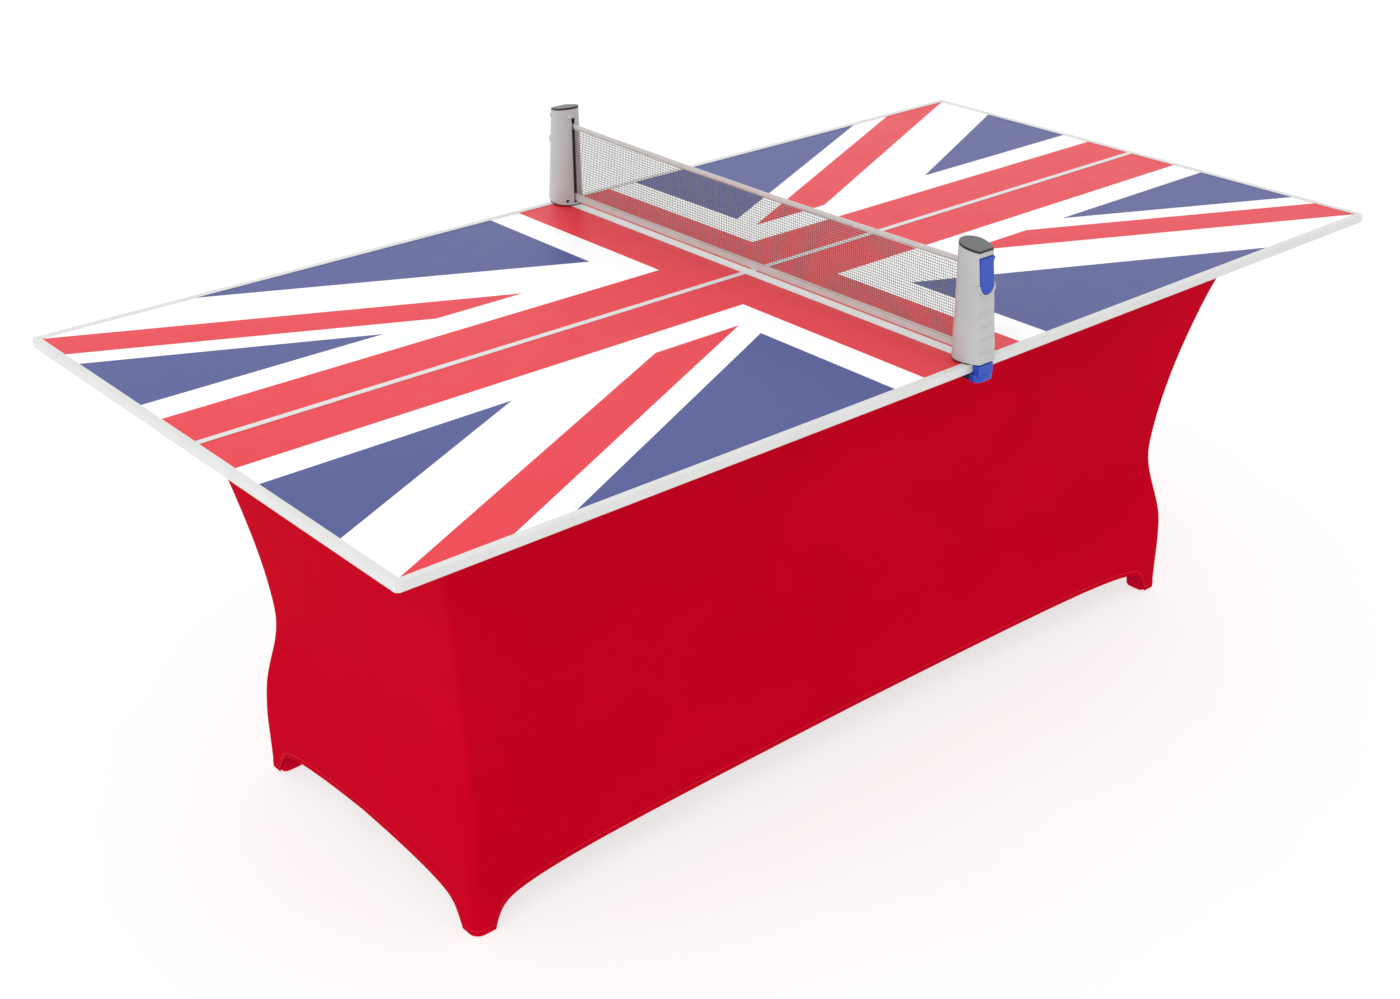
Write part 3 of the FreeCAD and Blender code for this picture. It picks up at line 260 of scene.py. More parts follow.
PRINT_SUMS = [
    ("ax", "ABSOLUTE", "x"),
    ("ay", "ABSOLUTE", "y"),
    ("diagonal", "MULTIPLY", "ax", PRINT_HALF_WIDTH / PRINT_HALF_LENGTH),
    ("outward", "SUBTRACT", "ay", "diagonal"),
    ("off", "ABSOLUTE", "outward"),
    ("quarter", "MULTIPLY", "x", "y"),
    ("hand", "SIGN", "quarter"),
    ("handed", "MULTIPLY", "outward", "hand"),
    ("on_side", "GREATER_THAN", "handed", 0.0),
    ("near_line", "LESS_THAN", "handed", DIAGONAL_RED),
    ("white_diagonal", "LESS_THAN", "off", DIAGONAL_WHITE),
    ("red_diagonal", "MULTIPLY", "on_side", "near_line"),
    ("white_post", "LESS_THAN", "ax", CROSS_WHITE_X),
    ("white_bar", "LESS_THAN", "ay", CROSS_WHITE_Y),
    ("white_cross", "MAXIMUM", "white_post", "white_bar"),
    ("red_post", "LESS_THAN", "ax", CROSS_RED),
    ("red_bar", "LESS_THAN", "ay", CROSS_RED),
    ("red_cross", "MAXIMUM", "red_post", "red_bar"),
]
PRINT_LAYERS = [("white_diagonal", "#FCFCFC"), ("red_diagonal", "#E02638"), ("white_cross", "#FCFCFC"),
                ("red_cross", "#E02638")]


def printed_film():
    """Blue ground with white and red layers over it, under a satin laminate."""
    material, tree, shader, place = start_finish("printed_film_satin_laminate", IOR=1.5,
                                                 Specular_IOR_Level=0.25)
    place = place.outputs["Object"]
    axes = add_node(tree, "ShaderNodeSeparateXYZ", {0: place})
    known = {"x": axes.outputs[0], "y": axes.outputs[1]}
    for name, operation, *terms in PRINT_SUMS:
        inputs = {i: known.get(term, term) for i, term in enumerate(terms)}
        known[name] = add_node(tree, "ShaderNodeMath", inputs, operation=operation).outputs[0]
    speck = add_node(tree, "ShaderNodeTexNoise", {"Vector": place, "Scale": 1 / (SPECK_MM * MM), "Detail": 4.0})
    colour = add_node(tree, "ShaderNodeMix", {0: speck.outputs[0], 6: linear("#404A89"), 7: linear("#464F90")},
                      data_type="RGBA").outputs[2]
    for layer, ink in PRINT_LAYERS:
        colour = add_node(tree, "ShaderNodeMix", {0: known[layer], 6: colour, 7: linear(ink)},
                          data_type="RGBA").outputs[2]
    gloss = add_node(tree, "ShaderNodeMapRange", {0: speck.outputs[0], 3: 0.3, 4: 0.44})
    peel = add_node(tree, "ShaderNodeTexNoise", {"Vector": place, "Scale": 1 / (LAMINATE_MM * MM), "Detail": 2.0})
    bump = add_node(tree, "ShaderNodeBump", {"Height": peel.outputs[0], "Strength": 0.3,
                                             "Distance": 0.06 * MM})
    tree.links.new(colour, shader.inputs["Base Color"])
    tree.links.new(gloss.outputs[0], shader.inputs["Roughness"])
    tree.links.new(bump.outputs[0], shader.inputs["Normal"])
    return material


film = printed_film()
print("print layers", [layer for layer, ink in PRINT_LAYERS])

# %% [markdown]
# The cover is knitted from polyester and elastane. Its loops stand in columns, called wales, and rows,
# called courses; light catches their sides, so the cloth is matt with a soft rim of sheen. Both follow
# the cloth's own UV map, in metres, so they stretch with it. Real wales are 0.6 mm apart; they are drawn
# at 2 mm, the finest that a view of the whole table can show.

# %% Knitted cloth
WALE_MM, COURSE_MM = 2.0, 2.6
PULL_MM = 260


def knit(name, dark, light):
    """Stretch knit in two close shades of one dye."""
    material, tree, shader, place = start_finish(name, Sheen_Weight=0.05, Sheen_Roughness=0.5,
                                                 Specular_IOR_Level=0.01)
    shader.inputs["Sheen Tint"].default_value = linear("#FF0828")
    wales = add_node(tree, "ShaderNodeMapping", {"Vector": place.outputs["UV"],
                                                 "Scale": (1 / (WALE_MM * MM), 1 / (COURSE_MM * MM), 1)})
    loops = add_node(tree, "ShaderNodeTexVoronoi", {"Vector": wales.outputs[0], "Scale": 1.0,
                                                    "Randomness": 0.15}, voronoi_dimensions="2D")
    pull = add_node(tree, "ShaderNodeTexNoise", {"Vector": place.outputs["Object"], "Scale": 1 / (PULL_MM * MM),
                                                 "Detail": 2.0})
    colour = add_node(tree, "ShaderNodeMix", {0: pull.outputs[0], 6: linear(dark), 7: linear(light)},
                      data_type="RGBA")
    bump = add_node(tree, "ShaderNodeBump", {"Height": loops.outputs["Distance"], "Strength": 0.35,
                                             "Distance": 0.25 * MM}, invert=True)
    gloss = add_node(tree, "ShaderNodeMapRange", {0: loops.outputs["Distance"], 3: 0.72, 4: 0.9})
    tree.links.new(colour.outputs[2], shader.inputs["Base Color"])
    tree.links.new(gloss.outputs[0], shader.inputs["Roughness"])
    tree.links.new(bump.outputs[0], shader.inputs["Normal"])
    return material


red_knit = knit("red_polyester_elastane_knit", "#B6001C", "#C60022")
# The pockets' lighter, pinker red is partly the doubled knit's own shade and partly a painted highlight of the
# stretched cloth under each foot.
pocket_knit_painted_highlight = knit("red_doubled_knit_pocket_painted_highlight", "#BE0028", "#CE0430")
print("wales", WALE_MM, "mm, courses", COURSE_MM, "mm")

# %% [markdown]
# Threads are too thin to show fibres, but not too thin to look twisted: a fine slanting bump and a small
# change of shade along them are enough for sewing thread, net twine and woven tape.

# %% Thread and tape
def twisted_yarn(name, dark, light, turn_mm, depth_mm, rough):
    """Polyester yarn or tape with the slant of its twist."""
    material, tree, shader, place = start_finish(name, Sheen_Weight=0.1, Specular_IOR_Level=0.35)
    place = place.outputs["Object"]
    twist = add_node(tree, "ShaderNodeTexWave", {"Vector": place, "Scale": 1 / (turn_mm * MM) / math.tau,
                                                 "Distortion": 1.5, "Detail": 1.0}, bands_direction="DIAGONAL")
    shade = add_node(tree, "ShaderNodeTexNoise", {"Vector": place, "Scale": 1 / (25 * MM)})
    colour = add_node(tree, "ShaderNodeMix", {0: shade.outputs[0], 6: linear(dark), 7: linear(light)},
                      data_type="RGBA")
    gloss = add_node(tree, "ShaderNodeMapRange", {0: twist.outputs[1], 3: rough - 0.08, 4: rough + 0.08})
    bump = add_node(tree, "ShaderNodeBump", {"Height": twist.outputs[1], "Strength": 0.4,
                                             "Distance": depth_mm * MM})
    tree.links.new(colour.outputs[2], shader.inputs["Base Color"])
    tree.links.new(gloss.outputs[0], shader.inputs["Roughness"])
    tree.links.new(bump.outputs[0], shader.inputs["Normal"])
    return material


net_twine = twisted_yarn("grey_polyester_twine", "#4E4F4B", "#60615C", 1.2, 0.1, 0.6)
net_tape = twisted_yarn("white_woven_polyester_tape", "#BEBEBB", "#CDCDCA", 1.6, 0.15, 0.62)
seam_thread = twisted_yarn("red_sewing_thread", "#D2102E", "#E4203C", 0.8, 0.05, 0.55)
print("yarns", 3)

# %% [markdown]
# Each part of the frame now takes its finish. Assigning a material to its slot is all that a node of the
# frame allows, and it is enough for every part whose edges nobody sees closely.

# %% Finishes on the frame
FINISH_OF_SLOT = {
    "white_print": film, "trim_plastic": long_trim_pvc, "table_plastic": pebbled_hdpe,
    "painted_steel": coated_steel, "zinc_steel": zinc_steel, "cover_fabric": red_knit,
    "foam": grey_foam, "post_plastic": grey_abs, "cap_plastic": cap_abs, "blue_plastic": blue_abs,
    "black_rubber": black_rubber, "net_fabric": net_tape,
}


def finish_of(node):
    """The material a node wears: its slot's, except where the trim runs across the table."""
    crosswise = node.startswith("trim_") and node.endswith(("_end", "_middle"))
    return end_trim_pvc if crosswise else FINISH_OF_SLOT[SLOT_OF[node]]


for node_name, node in frame["nodes"].items():
    node.data.materials.clear()
    node.data.materials.append(finish_of(node_name))
print("finishes set on", len(frame["nodes"]), "nodes")

# %% [markdown]
# No real edge is perfectly sharp, and the thin line of light along a rounded one is what makes a part
# look solid. A frame node can't be changed, so each part that shows is copied: its loose triangles are
# merged, flat faces joined, and a Bevel rounds every edge by the radius its process leaves.

# %% Rounded copies
ROUNDED_MM = {
    "trim_": 0.35, "centre_strip_": 0.3, "grip_pads": 1.2, "table_top": 1.6,
    "post_far_inner_shell": 0.5, "post_far_outer_shell": 0.5, "post_near_inner_shell": 0.5,
    "post_near_outer_shell": 0.5, "post_far_cap": 0.5, "post_near_cap": 0.5, "post_far_base_pad": 0.4,
    "post_near_base_pad": 0.4, "clamp_far_lever": 1.0, "clamp_near_lever": 1.0, "clamp_far_jaw_pad": 0.5,
    "clamp_near_jaw_pad": 0.5,
}
EDGE_ANGLE = math.radians(32)


def object_of(name, mesh):
    """A new object in the scene that holds a mesh."""
    piece = bpy.data.objects.new(name, mesh)
    bpy.context.scene.collection.objects.link(piece)
    return piece


def keep_result(piece):
    """Replaces a piece's mesh with what its modifiers make, and removes them."""
    graph = bpy.context.evaluated_depsgraph_get()
    mesh = bpy.data.meshes.new_from_object(piece.evaluated_get(graph))
    piece.modifiers.clear()
    piece.data = mesh
    mesh.name = piece.name
    return mesh


def rounded_copy(node, radius_mm):
    """A merged copy of a frame node with rounded edges, which stands for it."""
    source = frame["nodes"][node]
    shape = bmesh.new()
    shape.from_mesh(source.data)
    bmesh.ops.remove_doubles(shape, verts=shape.verts, dist=1e-6)
    bmesh.ops.dissolve_limit(shape, angle_limit=math.radians(0.5), verts=shape.verts, edges=shape.edges)
    shape.verts.index_update()
    corners = [vert.co.copy() for vert in shape.verts]
    faces = [[vert.index for vert in face.verts] for face in shape.faces]
    shape.free()
    mesh = bpy.data.meshes.new(node + "_rounded")
    mesh.from_pydata(corners, [], faces)
    mesh.materials.append(finish_of(node))
    mesh.shade_smooth()
    piece = object_of(node + "_rounded", mesh)
    bevel = piece.modifiers.new("edge", "BEVEL")
    bevel.width = radius_mm * MM
    bevel.segments = 2
    bevel.limit_method = "ANGLE"
    bevel.angle_limit = EDGE_ANGLE
    bevel.harden_normals = True
    keep_result(piece)
    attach(piece, source["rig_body"])
    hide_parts(node)
    return piece


rounded = [rounded_copy(node, radius) for prefix, radius in ROUNDED_MM.items()
           for node in sorted(frame["nodes"]) if node.startswith(prefix)]
print("rounded", len(rounded), "parts,", sum(len(piece.data.polygons) for piece in rounded), "faces")

# %% [markdown]
# The cover is a sewn stretch sock. It grips the rim of the table, is pulled down by pockets under the
# feet, and between them narrows to a waist, because stretched cloth always takes the shortest way. A
# cloth simulation would find that shape slowly; its law is simple, so the corner line is a formula: a
# flare above the waist, and a smaller one below it that ends round the foot.

# %% The corner line of the cover
table_low, table_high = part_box("table_top")
foot_low, foot_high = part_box("leg_left_foot_caps")
FOOT_RADIUS = 16 * MM
FOOT_X, FOOT_Y = abs(foot_low.x) - FOOT_RADIUS, foot_high.y - FOOT_RADIUS
CLOTH_THICK = 1.0 * MM
RIM_X, RIM_Y = table_high.x + 2 * MM, table_high.y + 2 * MM
RIM_Z = table_high.z
EDGE_Z, SIDE_Z = RIM_Z - 35 * MM, RIM_Z - 15 * MM
EDGE_INSET = 11 * MM
WAIST_Z = 300 * MM
WAIST_X, WAIST_Y = 792.5 * MM, 277 * MM
HEM_X, HEM_Y = FOOT_X + 22 * MM, FOOT_Y + 22.5 * MM


def flare(share, straightness, power):
    """How far the cloth has opened at a share of the way from the waist to the rim."""
    return straightness * share ** power + (1 - straightness) * share ** 14


def settle(z, depth):
    """How far the cloth has opened again below the waist."""
    return math.sin(math.pi / 2 * min(1.0, (WAIST_Z - z) / depth)) ** 2


def corner_line(z):
    """Half length, half width and corner radius of the cover at a height."""
    if z >= EDGE_Z:
        down = 1 - min(1.0, (z - EDGE_Z) / (SIDE_Z - EDGE_Z))
        return RIM_X - down * EDGE_INSET, RIM_Y - down * EDGE_INSET, (32 - 8 * down) * MM
    if z >= WAIST_Z:
        share = (z - WAIST_Z) / (EDGE_Z - WAIST_Z)
        half_x = WAIST_X + (RIM_X - EDGE_INSET - WAIST_X) * flare(share, 0.64, 1.4)
        half_y = WAIST_Y + (RIM_Y - EDGE_INSET - WAIST_Y) * flare(share, 0.9, 1.6)
        return half_x, half_y, (6 + 18 * share ** 10) * MM
    half_x = WAIST_X + (HEM_X - WAIST_X) * settle(z, 220 * MM)
    half_y = WAIST_Y + (HEM_Y - WAIST_Y) * settle(z, 150 * MM)
    return half_x, half_y, (6 + 10 * settle(z, 260 * MM) ** 2) * MM


for height in (RIM_Z, EDGE_Z, 0.5, WAIST_Z, 0.0):
    print("at", round(height, 3), "half sizes", [round(size, 4) for size in corner_line(height)])

# %% [markdown]
# Between the corners each wall is pulled two ways: sideways, flat between its corner lines, and downwards,
# straight from the rim to the hem. It settles in between, so it bulges a little past its corner lines.
# The hem wraps each foot almost to the floor, climbs steeply beside it and then arches gently between
# the feet: three rises, each with the distance over which it fades.

# %% Walls and hem
LONG_WALL_PULL, END_WALL_PULL = 0.3, 0.15
HEM_REST, HEM_FLAT = 3 * MM, 34 * MM
HEM_RISES = [(38 * MM, 11 * MM), (23 * MM, 70 * MM), (17 * MM, 300 * MM)]


def hem_height(from_corner):
    """Height of the hem at a distance from the corner, along a wall."""
    along = max(0.0, from_corner - HEM_FLAT)
    return HEM_REST + sum(rise * (1 - math.exp(-along / reach)) for rise, reach in HEM_RISES)


def bulge(z):
    """How far past the corner lines the long wall and the end wall stand at a height."""
    if z >= EDGE_Z:
        return 0.0, 0.0
    low = 100 * MM
    share = max(0.0, (z - low) / (EDGE_Z - low))
    half_x, half_y, radius = corner_line(z)
    straight_x = HEM_X + share * (RIM_X - EDGE_INSET - HEM_X)
    straight_y = HEM_Y + share * (RIM_Y - EDGE_INSET - HEM_Y)
    return LONG_WALL_PULL * (straight_y - half_y), END_WALL_PULL * (straight_x - half_x)


def columns():
    """Where the columns of the half cover stand: a stretch of the outline and a share along it."""
    places = [("near", 1 - (1 - i / 60) ** 1.6) for i in range(60)]
    places += [("near_corner", i / 10) for i in range(11)]
    places += [("end", -math.cos(math.pi * i / 44)) for i in range(1, 44)]
    places += [("far_corner", 1 - i / 10) for i in range(11)]
    return places + [("far", share) for stretch, share in reversed(places[:60])]


def outline_point(place, z, inset):
    """Point of the outline at a height, and its distance from the corner along the wall."""
    stretch, share = place
    half_x, half_y, radius = corner_line(z)
    half_x, half_y, radius = half_x - inset, half_y - inset, max(radius - inset, 4 * MM)
    long_out, end_out = bulge(z)
    side = -1 if stretch.startswith("near") else 1
    if stretch in ("near", "far"):
        x = share * (half_x - radius)
        y = half_y + long_out * (1 - share ** 2)
        return Vector((x, side * y, z)), half_x - x
    if stretch == "end":
        y = share * (half_y - radius)
        return Vector((half_x + end_out * (1 - share ** 2), y, z)), half_y - abs(y)
    angle = share * math.pi / 2
    x = half_x - radius + radius * math.sin(angle)
    y = half_y - radius + radius * math.cos(angle)
    return Vector((x, side * y, z)), 0.0


print("columns of half a cover", len(columns()), "hem at mid length", round(hem_height(RIM_X), 4))

# %% [markdown]
# The rows run from the hem to the rim and over it. The hem is folded up and sewn, so its first rows stand
# out by one more thickness of cloth. The mesh is one side of the cloth; Solidify then gives it the other.
# The cover is made in two halves, one for each pair of legs.

# %% Half a cover
HEM_FOLD = 12 * MM
HEM_ROWS = [(0.0, 0.0), (0.6, 0.8), (8.5, 0.8), (10.0, 0.1), (12.0, 0.5), (14.0, 0.0)]
WALL_ROWS = 58
RIM_ROWS = [(EDGE_Z, 0.0), (EDGE_Z + 8 * MM, 0.0), (SIDE_Z, 0.0), (SIDE_Z + 9 * MM, 0.0),
            (RIM_Z - 0.5 * MM, 0.0), (RIM_Z + 0.8 * MM, 0.5 * MM), (RIM_Z + 1.5 * MM, 2.5 * MM),
            (RIM_Z + 1.5 * MM, 8 * MM), (RIM_Z + 1.5 * MM, 30 * MM)]


def ripple(point):
    """A slack wave of under a millimetre, so that no wall is perfectly even."""
    slant = 9.0 * point.x + 6.0 * point.z + 3.0 * point.y
    return 0.5 * MM * math.sin(slant) * math.sin(17.0 * point.z + 4.0 * point.x + 1.3)


def column_points(place):
    """The points of one column, from the hem over the rim."""
    foot, from_corner = outline_point(place, 0.1, 0.0)
    hem = hem_height(from_corner) if from_corner else HEM_REST
    points = []
    for rise, proud in HEM_ROWS:
        points.append(outline_point(place, hem + rise * MM, -proud * MM)[0])
    start = hem + 18 * MM
    for i in range(WALL_ROWS):
        z = start + (EDGE_Z - start) * i / WALL_ROWS
        point = outline_point(place, z, 0.0)[0]
        out = ripple(point) * math.sin(math.pi * i / WALL_ROWS)
        points.append(outline_point(place, z, out)[0])
    points += [outline_point(place, min(z, RIM_Z), inset)[0] + Vector((0, 0, max(0.0, z - RIM_Z)))
               for z, inset in RIM_ROWS]
    return points


def half_cover(name, side):
    """The left (-1) or right (1) half of the cover as one closed cloth."""
    shape = bmesh.new()
    uv = shape.loops.layers.uv.new("Cloth")
    grid = [column_points(place) for place in columns()]
    verts = [[shape.verts.new((side * p.x, p.y, p.z)) for p in column] for column in grid]
    lengths = [0.0]
    for before, after in zip(grid, grid[1:]):
        lengths.append(lengths[-1] + (after[WALL_ROWS // 2] - before[WALL_ROWS // 2]).length)
    flat = {}
    for u, column, points in zip(lengths, verts, grid):
        v = 0.0
        for i, vert in enumerate(column):
            v += (points[i] - points[i - 1]).length if i else 0.0
            flat[vert] = (u, v)
    for left, right in zip(verts, verts[1:]):
        for i in range(len(left) - 1):
            shape.faces.new((left[i], right[i], right[i + 1], left[i + 1]))
    top = shape.faces.new([column[-1] for column in verts])
    for face in shape.faces:
        for loop in face.loops:
            loop[uv].uv = loop.vert.co.xy if face is top else flat[loop.vert]
    bmesh.ops.recalc_face_normals(shape, faces=shape.faces)
    if top.normal.z < 0:
        bmesh.ops.reverse_faces(shape, faces=shape.faces)
    mesh = bpy.data.meshes.new(name)
    shape.to_mesh(mesh)
    shape.free()
    mesh.materials.append(red_knit)
    mesh.shade_smooth()
    piece = object_of(name, mesh)
    cloth = piece.modifiers.new("cloth", "SOLIDIFY")
    cloth.thickness = CLOTH_THICK
    cloth.offset = -1.0
    keep_result(piece).set_sharp_from_angle(angle=math.radians(50))
    return piece


covers = {name: half_cover("cover_half_" + name, side) for name, side in (("left", -1), ("right", 1))}
print("cover faces", [len(piece.data.polygons) for piece in covers.values()])

# %% [markdown]
# Stitches repeat by the hundred, so Geometry Nodes sew them: a line is resampled into points one stitch
# apart, and a short thread with rounded ends is set on each, turned along the line. The same tree sews
# the hem and the tapes of the net.

# %% A tree that sews
def interface(tree, **sockets):
    """Names a tree's inputs and its one geometry output."""
    for name, kind in sockets.items():
        tree.interface.new_socket(name.replace("_", " "), in_out="INPUT", socket_type=kind)
    tree.interface.new_socket("Geometry", in_out="OUTPUT", socket_type="NodeSocketGeometry")


def grow(name, tree, sizes, start=None):
    """Runs a Geometry Nodes tree and keeps the result as a plain mesh."""
    piece = object_of(name, start or bpy.data.meshes.new(name))
    modifier = piece.modifiers.new("grow", "NODES")
    modifier.node_group = tree
    for item in tree.interface.items_tree:
        if item.in_out == "INPUT" and item.name in sizes:
            modifier[item.identifier] = sizes[item.name]
    keep_result(piece)
    return piece


def finish_tree(tree, geometry, material):
    """Ends a tree: makes its instances real, gives them their material and hands them out."""
    real = add_node(tree, "GeometryNodeRealizeInstances", {0: geometry})
    dressed = add_node(tree, "GeometryNodeSetMaterial", {"Geometry": real.outputs[0], "Material": material})
    add_node(tree, "NodeGroupOutput", {0: dressed.outputs[0]})


def sewing_tree(name, material):
    """Stitches along a line of edges."""
    tree = bpy.data.node_groups.new(name, "GeometryNodeTree")
    interface(tree, Line="NodeSocketGeometry", Pitch="NodeSocketFloat", Length="NodeSocketFloat",
              Radius="NodeSocketFloat")
    given = add_node(tree, "NodeGroupInput").outputs
    line = add_node(tree, "GeometryNodeMeshToCurve", {0: given["Line"]})
    places = add_node(tree, "GeometryNodeCurveToPoints", {"Curve": line.outputs[0], "Length": given["Pitch"]},
                      mode="LENGTH")
    stitch = add_node(tree, "GeometryNodeMeshCylinder", {"Vertices": 6, "Radius": given["Radius"],
                                                         "Depth": given["Length"]})
    sewn = add_node(tree, "GeometryNodeInstanceOnPoints", {"Points": places.outputs["Points"],
                                                           "Instance": stitch.outputs[0],
                                                           "Rotation": places.outputs["Rotation"]})
    finish_tree(tree, sewn.outputs[0], material)
    return tree


def line_mesh(name, points):
    """A mesh of edges only, through a list of points."""
    mesh = bpy.data.meshes.new(name)
    mesh.from_pydata(points, [(i, i + 1) for i in range(len(points) - 1)], [])
    return mesh


STITCH = {"Pitch": 4.0 * MM, "Length": 2.8 * MM, "Radius": 0.35 * MM}
hem_sewing = sewing_tree("sew_hem", seam_thread)


def hem_stitches(name, side):
    """The row of stitches that holds the folded hem of one half."""
    points = []
    for place in columns():
        from_corner = outline_point(place, 0.1, 0.0)[1]
        z = (hem_height(from_corner) if from_corner else HEM_REST) + HEM_FOLD - 2.6 * MM
        point = outline_point(place, z, -0.5 * MM)[0]
        points.append((side * point.x, point.y, point.z))
    return grow(name, hem_sewing, STITCH, line_mesh(name, points))


hems = {name: hem_stitches("hem_stitches_" + name, side) for name, side in (("left", -1), ("right", 1))}
print("hem stitches, faces", [len(piece.data.polygons) for piece in hems.values()])

# %% [markdown]
# Under each foot the cover ends in a pocket of doubled knit. It hugs the foot cap, closes underneath and
# draws in round the leg tube, so it is lofted from rounded squares that turn into circles at both ends.

# %% Foot pockets
POCKET_SECTIONS = [(0.4, 10.0, 1.0), (0.9, 14.5, 0.9), (3.0, 18.5, 0.45), (8.0, 20.0, 0.3), (30.0, 20.0, 0.3),
                   (48.0, 19.6, 0.4), (58.0, 17.5, 0.7), (64.0, 15.2, 1.0), (69.0, 14.2, 1.0)]
POCKET_SIDES = 40
LEG_LEAN = 46.0 / 703.0


def pocket_ring(side, across, z, half, roundness):
    """One section of a pocket: a square at roundness 0, a circle at 1."""
    centre = Vector((side * (FOOT_X - LEG_LEAN * z), across * FOOT_Y, z))
    ring = []
    for i in range(POCKET_SIDES):
        angle = math.tau * i / POCKET_SIDES
        power = 2 / (2 + 6 * (1 - roundness))
        x = math.copysign(abs(math.cos(angle)) ** power, math.cos(angle))
        y = math.copysign(abs(math.sin(angle)) ** power, math.sin(angle))
        ring.append(centre + half * Vector((x, y, 0)))
    return ring


def foot_pockets(name, side):
    """Both pockets of one leg frame as one cloth piece."""
    shape = bmesh.new()
    uv = shape.loops.layers.uv.new("Cloth")
    for across in (-1, 1):
        rings = []
        for z, half, roundness in POCKET_SECTIONS:
            ring = pocket_ring(side, across, z * MM, half * MM, roundness)
            rings.append([shape.verts.new(point) for point in ring])
        for low, high in zip(rings, rings[1:]):
            for i in range(POCKET_SIDES):
                j = (i + 1) % POCKET_SIDES
                shape.faces.new((low[i], low[j], high[j], high[i]))
        shape.faces.new(rings[0][::-1])
    bmesh.ops.recalc_face_normals(shape, faces=shape.faces)
    for face in shape.faces:
        for loop in face.loops:
            loop[uv].uv = (loop.vert.co.x + loop.vert.co.y, loop.vert.co.z)
    mesh = bpy.data.meshes.new(name)
    shape.to_mesh(mesh)
    shape.free()
    mesh.materials.append(pocket_knit_painted_highlight)
    mesh.shade_smooth()
    piece = object_of(name, mesh)
    cloth = piece.modifiers.new("cloth", "SOLIDIFY")
    cloth.thickness = CLOTH_THICK
    cloth.offset = -1.0
    keep_result(piece).set_sharp_from_angle(angle=math.radians(60))
    return piece


pockets = {name: foot_pockets("foot_pockets_" + name, side) for name, side in (("left", -1), ("right", 1))}
print("pocket faces", [len(piece.data.polygons) for piece in pockets.values()])

# %% [markdown]
# Each half of the cover is held by the table at its rim and by one leg frame at its pockets. Here each pair of
# pockets is attached to its leg frame, while the cover halves and their stitches keep the place they were made
# in. Half the cover unfolds to a T: half the top with a long wall on each side and one end wall. A pair of
# pockets is two strips that go once round a foot.


for name, side in (("left", -1), ("right", 1)):
    cover, hem, pocket = covers[name], hems[name], pockets[name]
    for piece in (cover, hem):
        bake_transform(piece)
    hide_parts("cover_top", "cover_near", "cover_far", "cover_" + name)
    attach(pocket, "leg_" + name)
    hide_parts("cover_pockets_" + name)

# %% [markdown]
# The net is a knotted mesh between two woven tapes. Its threads repeat thousands of times, so a
# Geometry Nodes tree grows them: one level thread copied upwards, one upright thread copied along, and a
# small knot at every crossing. Real net has 0.4 mm twine on a 2 mm mesh; it is drawn 2.2 times coarser.

# %% A tree that knits the net
net_low, net_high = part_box("net_mesh")
MESH_PITCH = 4.4 * MM
TWINE_RADIUS = 0.45 * MM
KNOT_RADIUS = 0.7 * MM


def net_tree():
    """Level threads, upright threads and knots on a rectangle that starts at the origin."""
    tree = bpy.data.node_groups.new("knit_net", "GeometryNodeTree")
    interface(tree, Length="NodeSocketFloat", Height="NodeSocketFloat", Columns="NodeSocketInt",
              Rows="NodeSocketInt", Twine="NodeSocketFloat", Knot="NodeSocketFloat")
    given = add_node(tree, "NodeGroupInput").outputs
    along = add_node(tree, "ShaderNodeCombineXYZ", {"Y": given["Length"]}).outputs[0]
    up = add_node(tree, "ShaderNodeCombineXYZ", {"Z": given["Height"]}).outputs[0]
    twine = add_node(tree, "GeometryNodeCurvePrimitiveCircle", {"Resolution": 4, "Radius": given["Twine"]})
    layers = []
    for line_end, step_end, count in ((along, up, "Rows"), (up, along, "Columns")):
        line = add_node(tree, "GeometryNodeCurvePrimitiveLine", {"End": line_end})
        tube = add_node(tree, "GeometryNodeCurveToMesh", {"Curve": line.outputs[0],
                                                          "Profile Curve": twine.outputs[0], "Fill Caps": True})
        ladder = add_node(tree, "GeometryNodeMeshLine", {"Count": given[count], "Start Location": (0, 0, 0),
                                                         "Offset": step_end}, mode="END_POINTS")
        layers.append(add_node(tree, "GeometryNodeInstanceOnPoints", {"Points": ladder.outputs[0],
                                                                      "Instance": tube.outputs[0]}))
    grid = add_node(tree, "GeometryNodeMeshGrid", {"Size X": given["Length"], "Size Y": given["Height"],
                                                   "Vertices X": given["Columns"], "Vertices Y": given["Rows"]})
    middle = add_node(tree, "ShaderNodeVectorMath", {0: along, 1: up}, operation="ADD")
    middle = add_node(tree, "ShaderNodeVectorMath", {0: middle.outputs[0], "Scale": 0.5}, operation="SCALE")
    placed = add_node(tree, "GeometryNodeTransform", {"Geometry": grid.outputs[0],
                                                      "Translation": middle.outputs[0],
                                                      "Rotation": (math.pi / 2, 0, math.pi / 2)})
    knot = add_node(tree, "GeometryNodeMeshUVSphere", {"Segments": 4, "Rings": 2, "Radius": given["Knot"]})
    layers.append(add_node(tree, "GeometryNodeInstanceOnPoints", {"Points": placed.outputs[0],
                                                                  "Instance": knot.outputs[0]}))
    joined = add_node(tree, "GeometryNodeJoinGeometry")
    for layer in layers:
        tree.links.new(layer.outputs[0], joined.inputs[0])
    finish_tree(tree, joined.outputs[0], net_twine)
    return tree


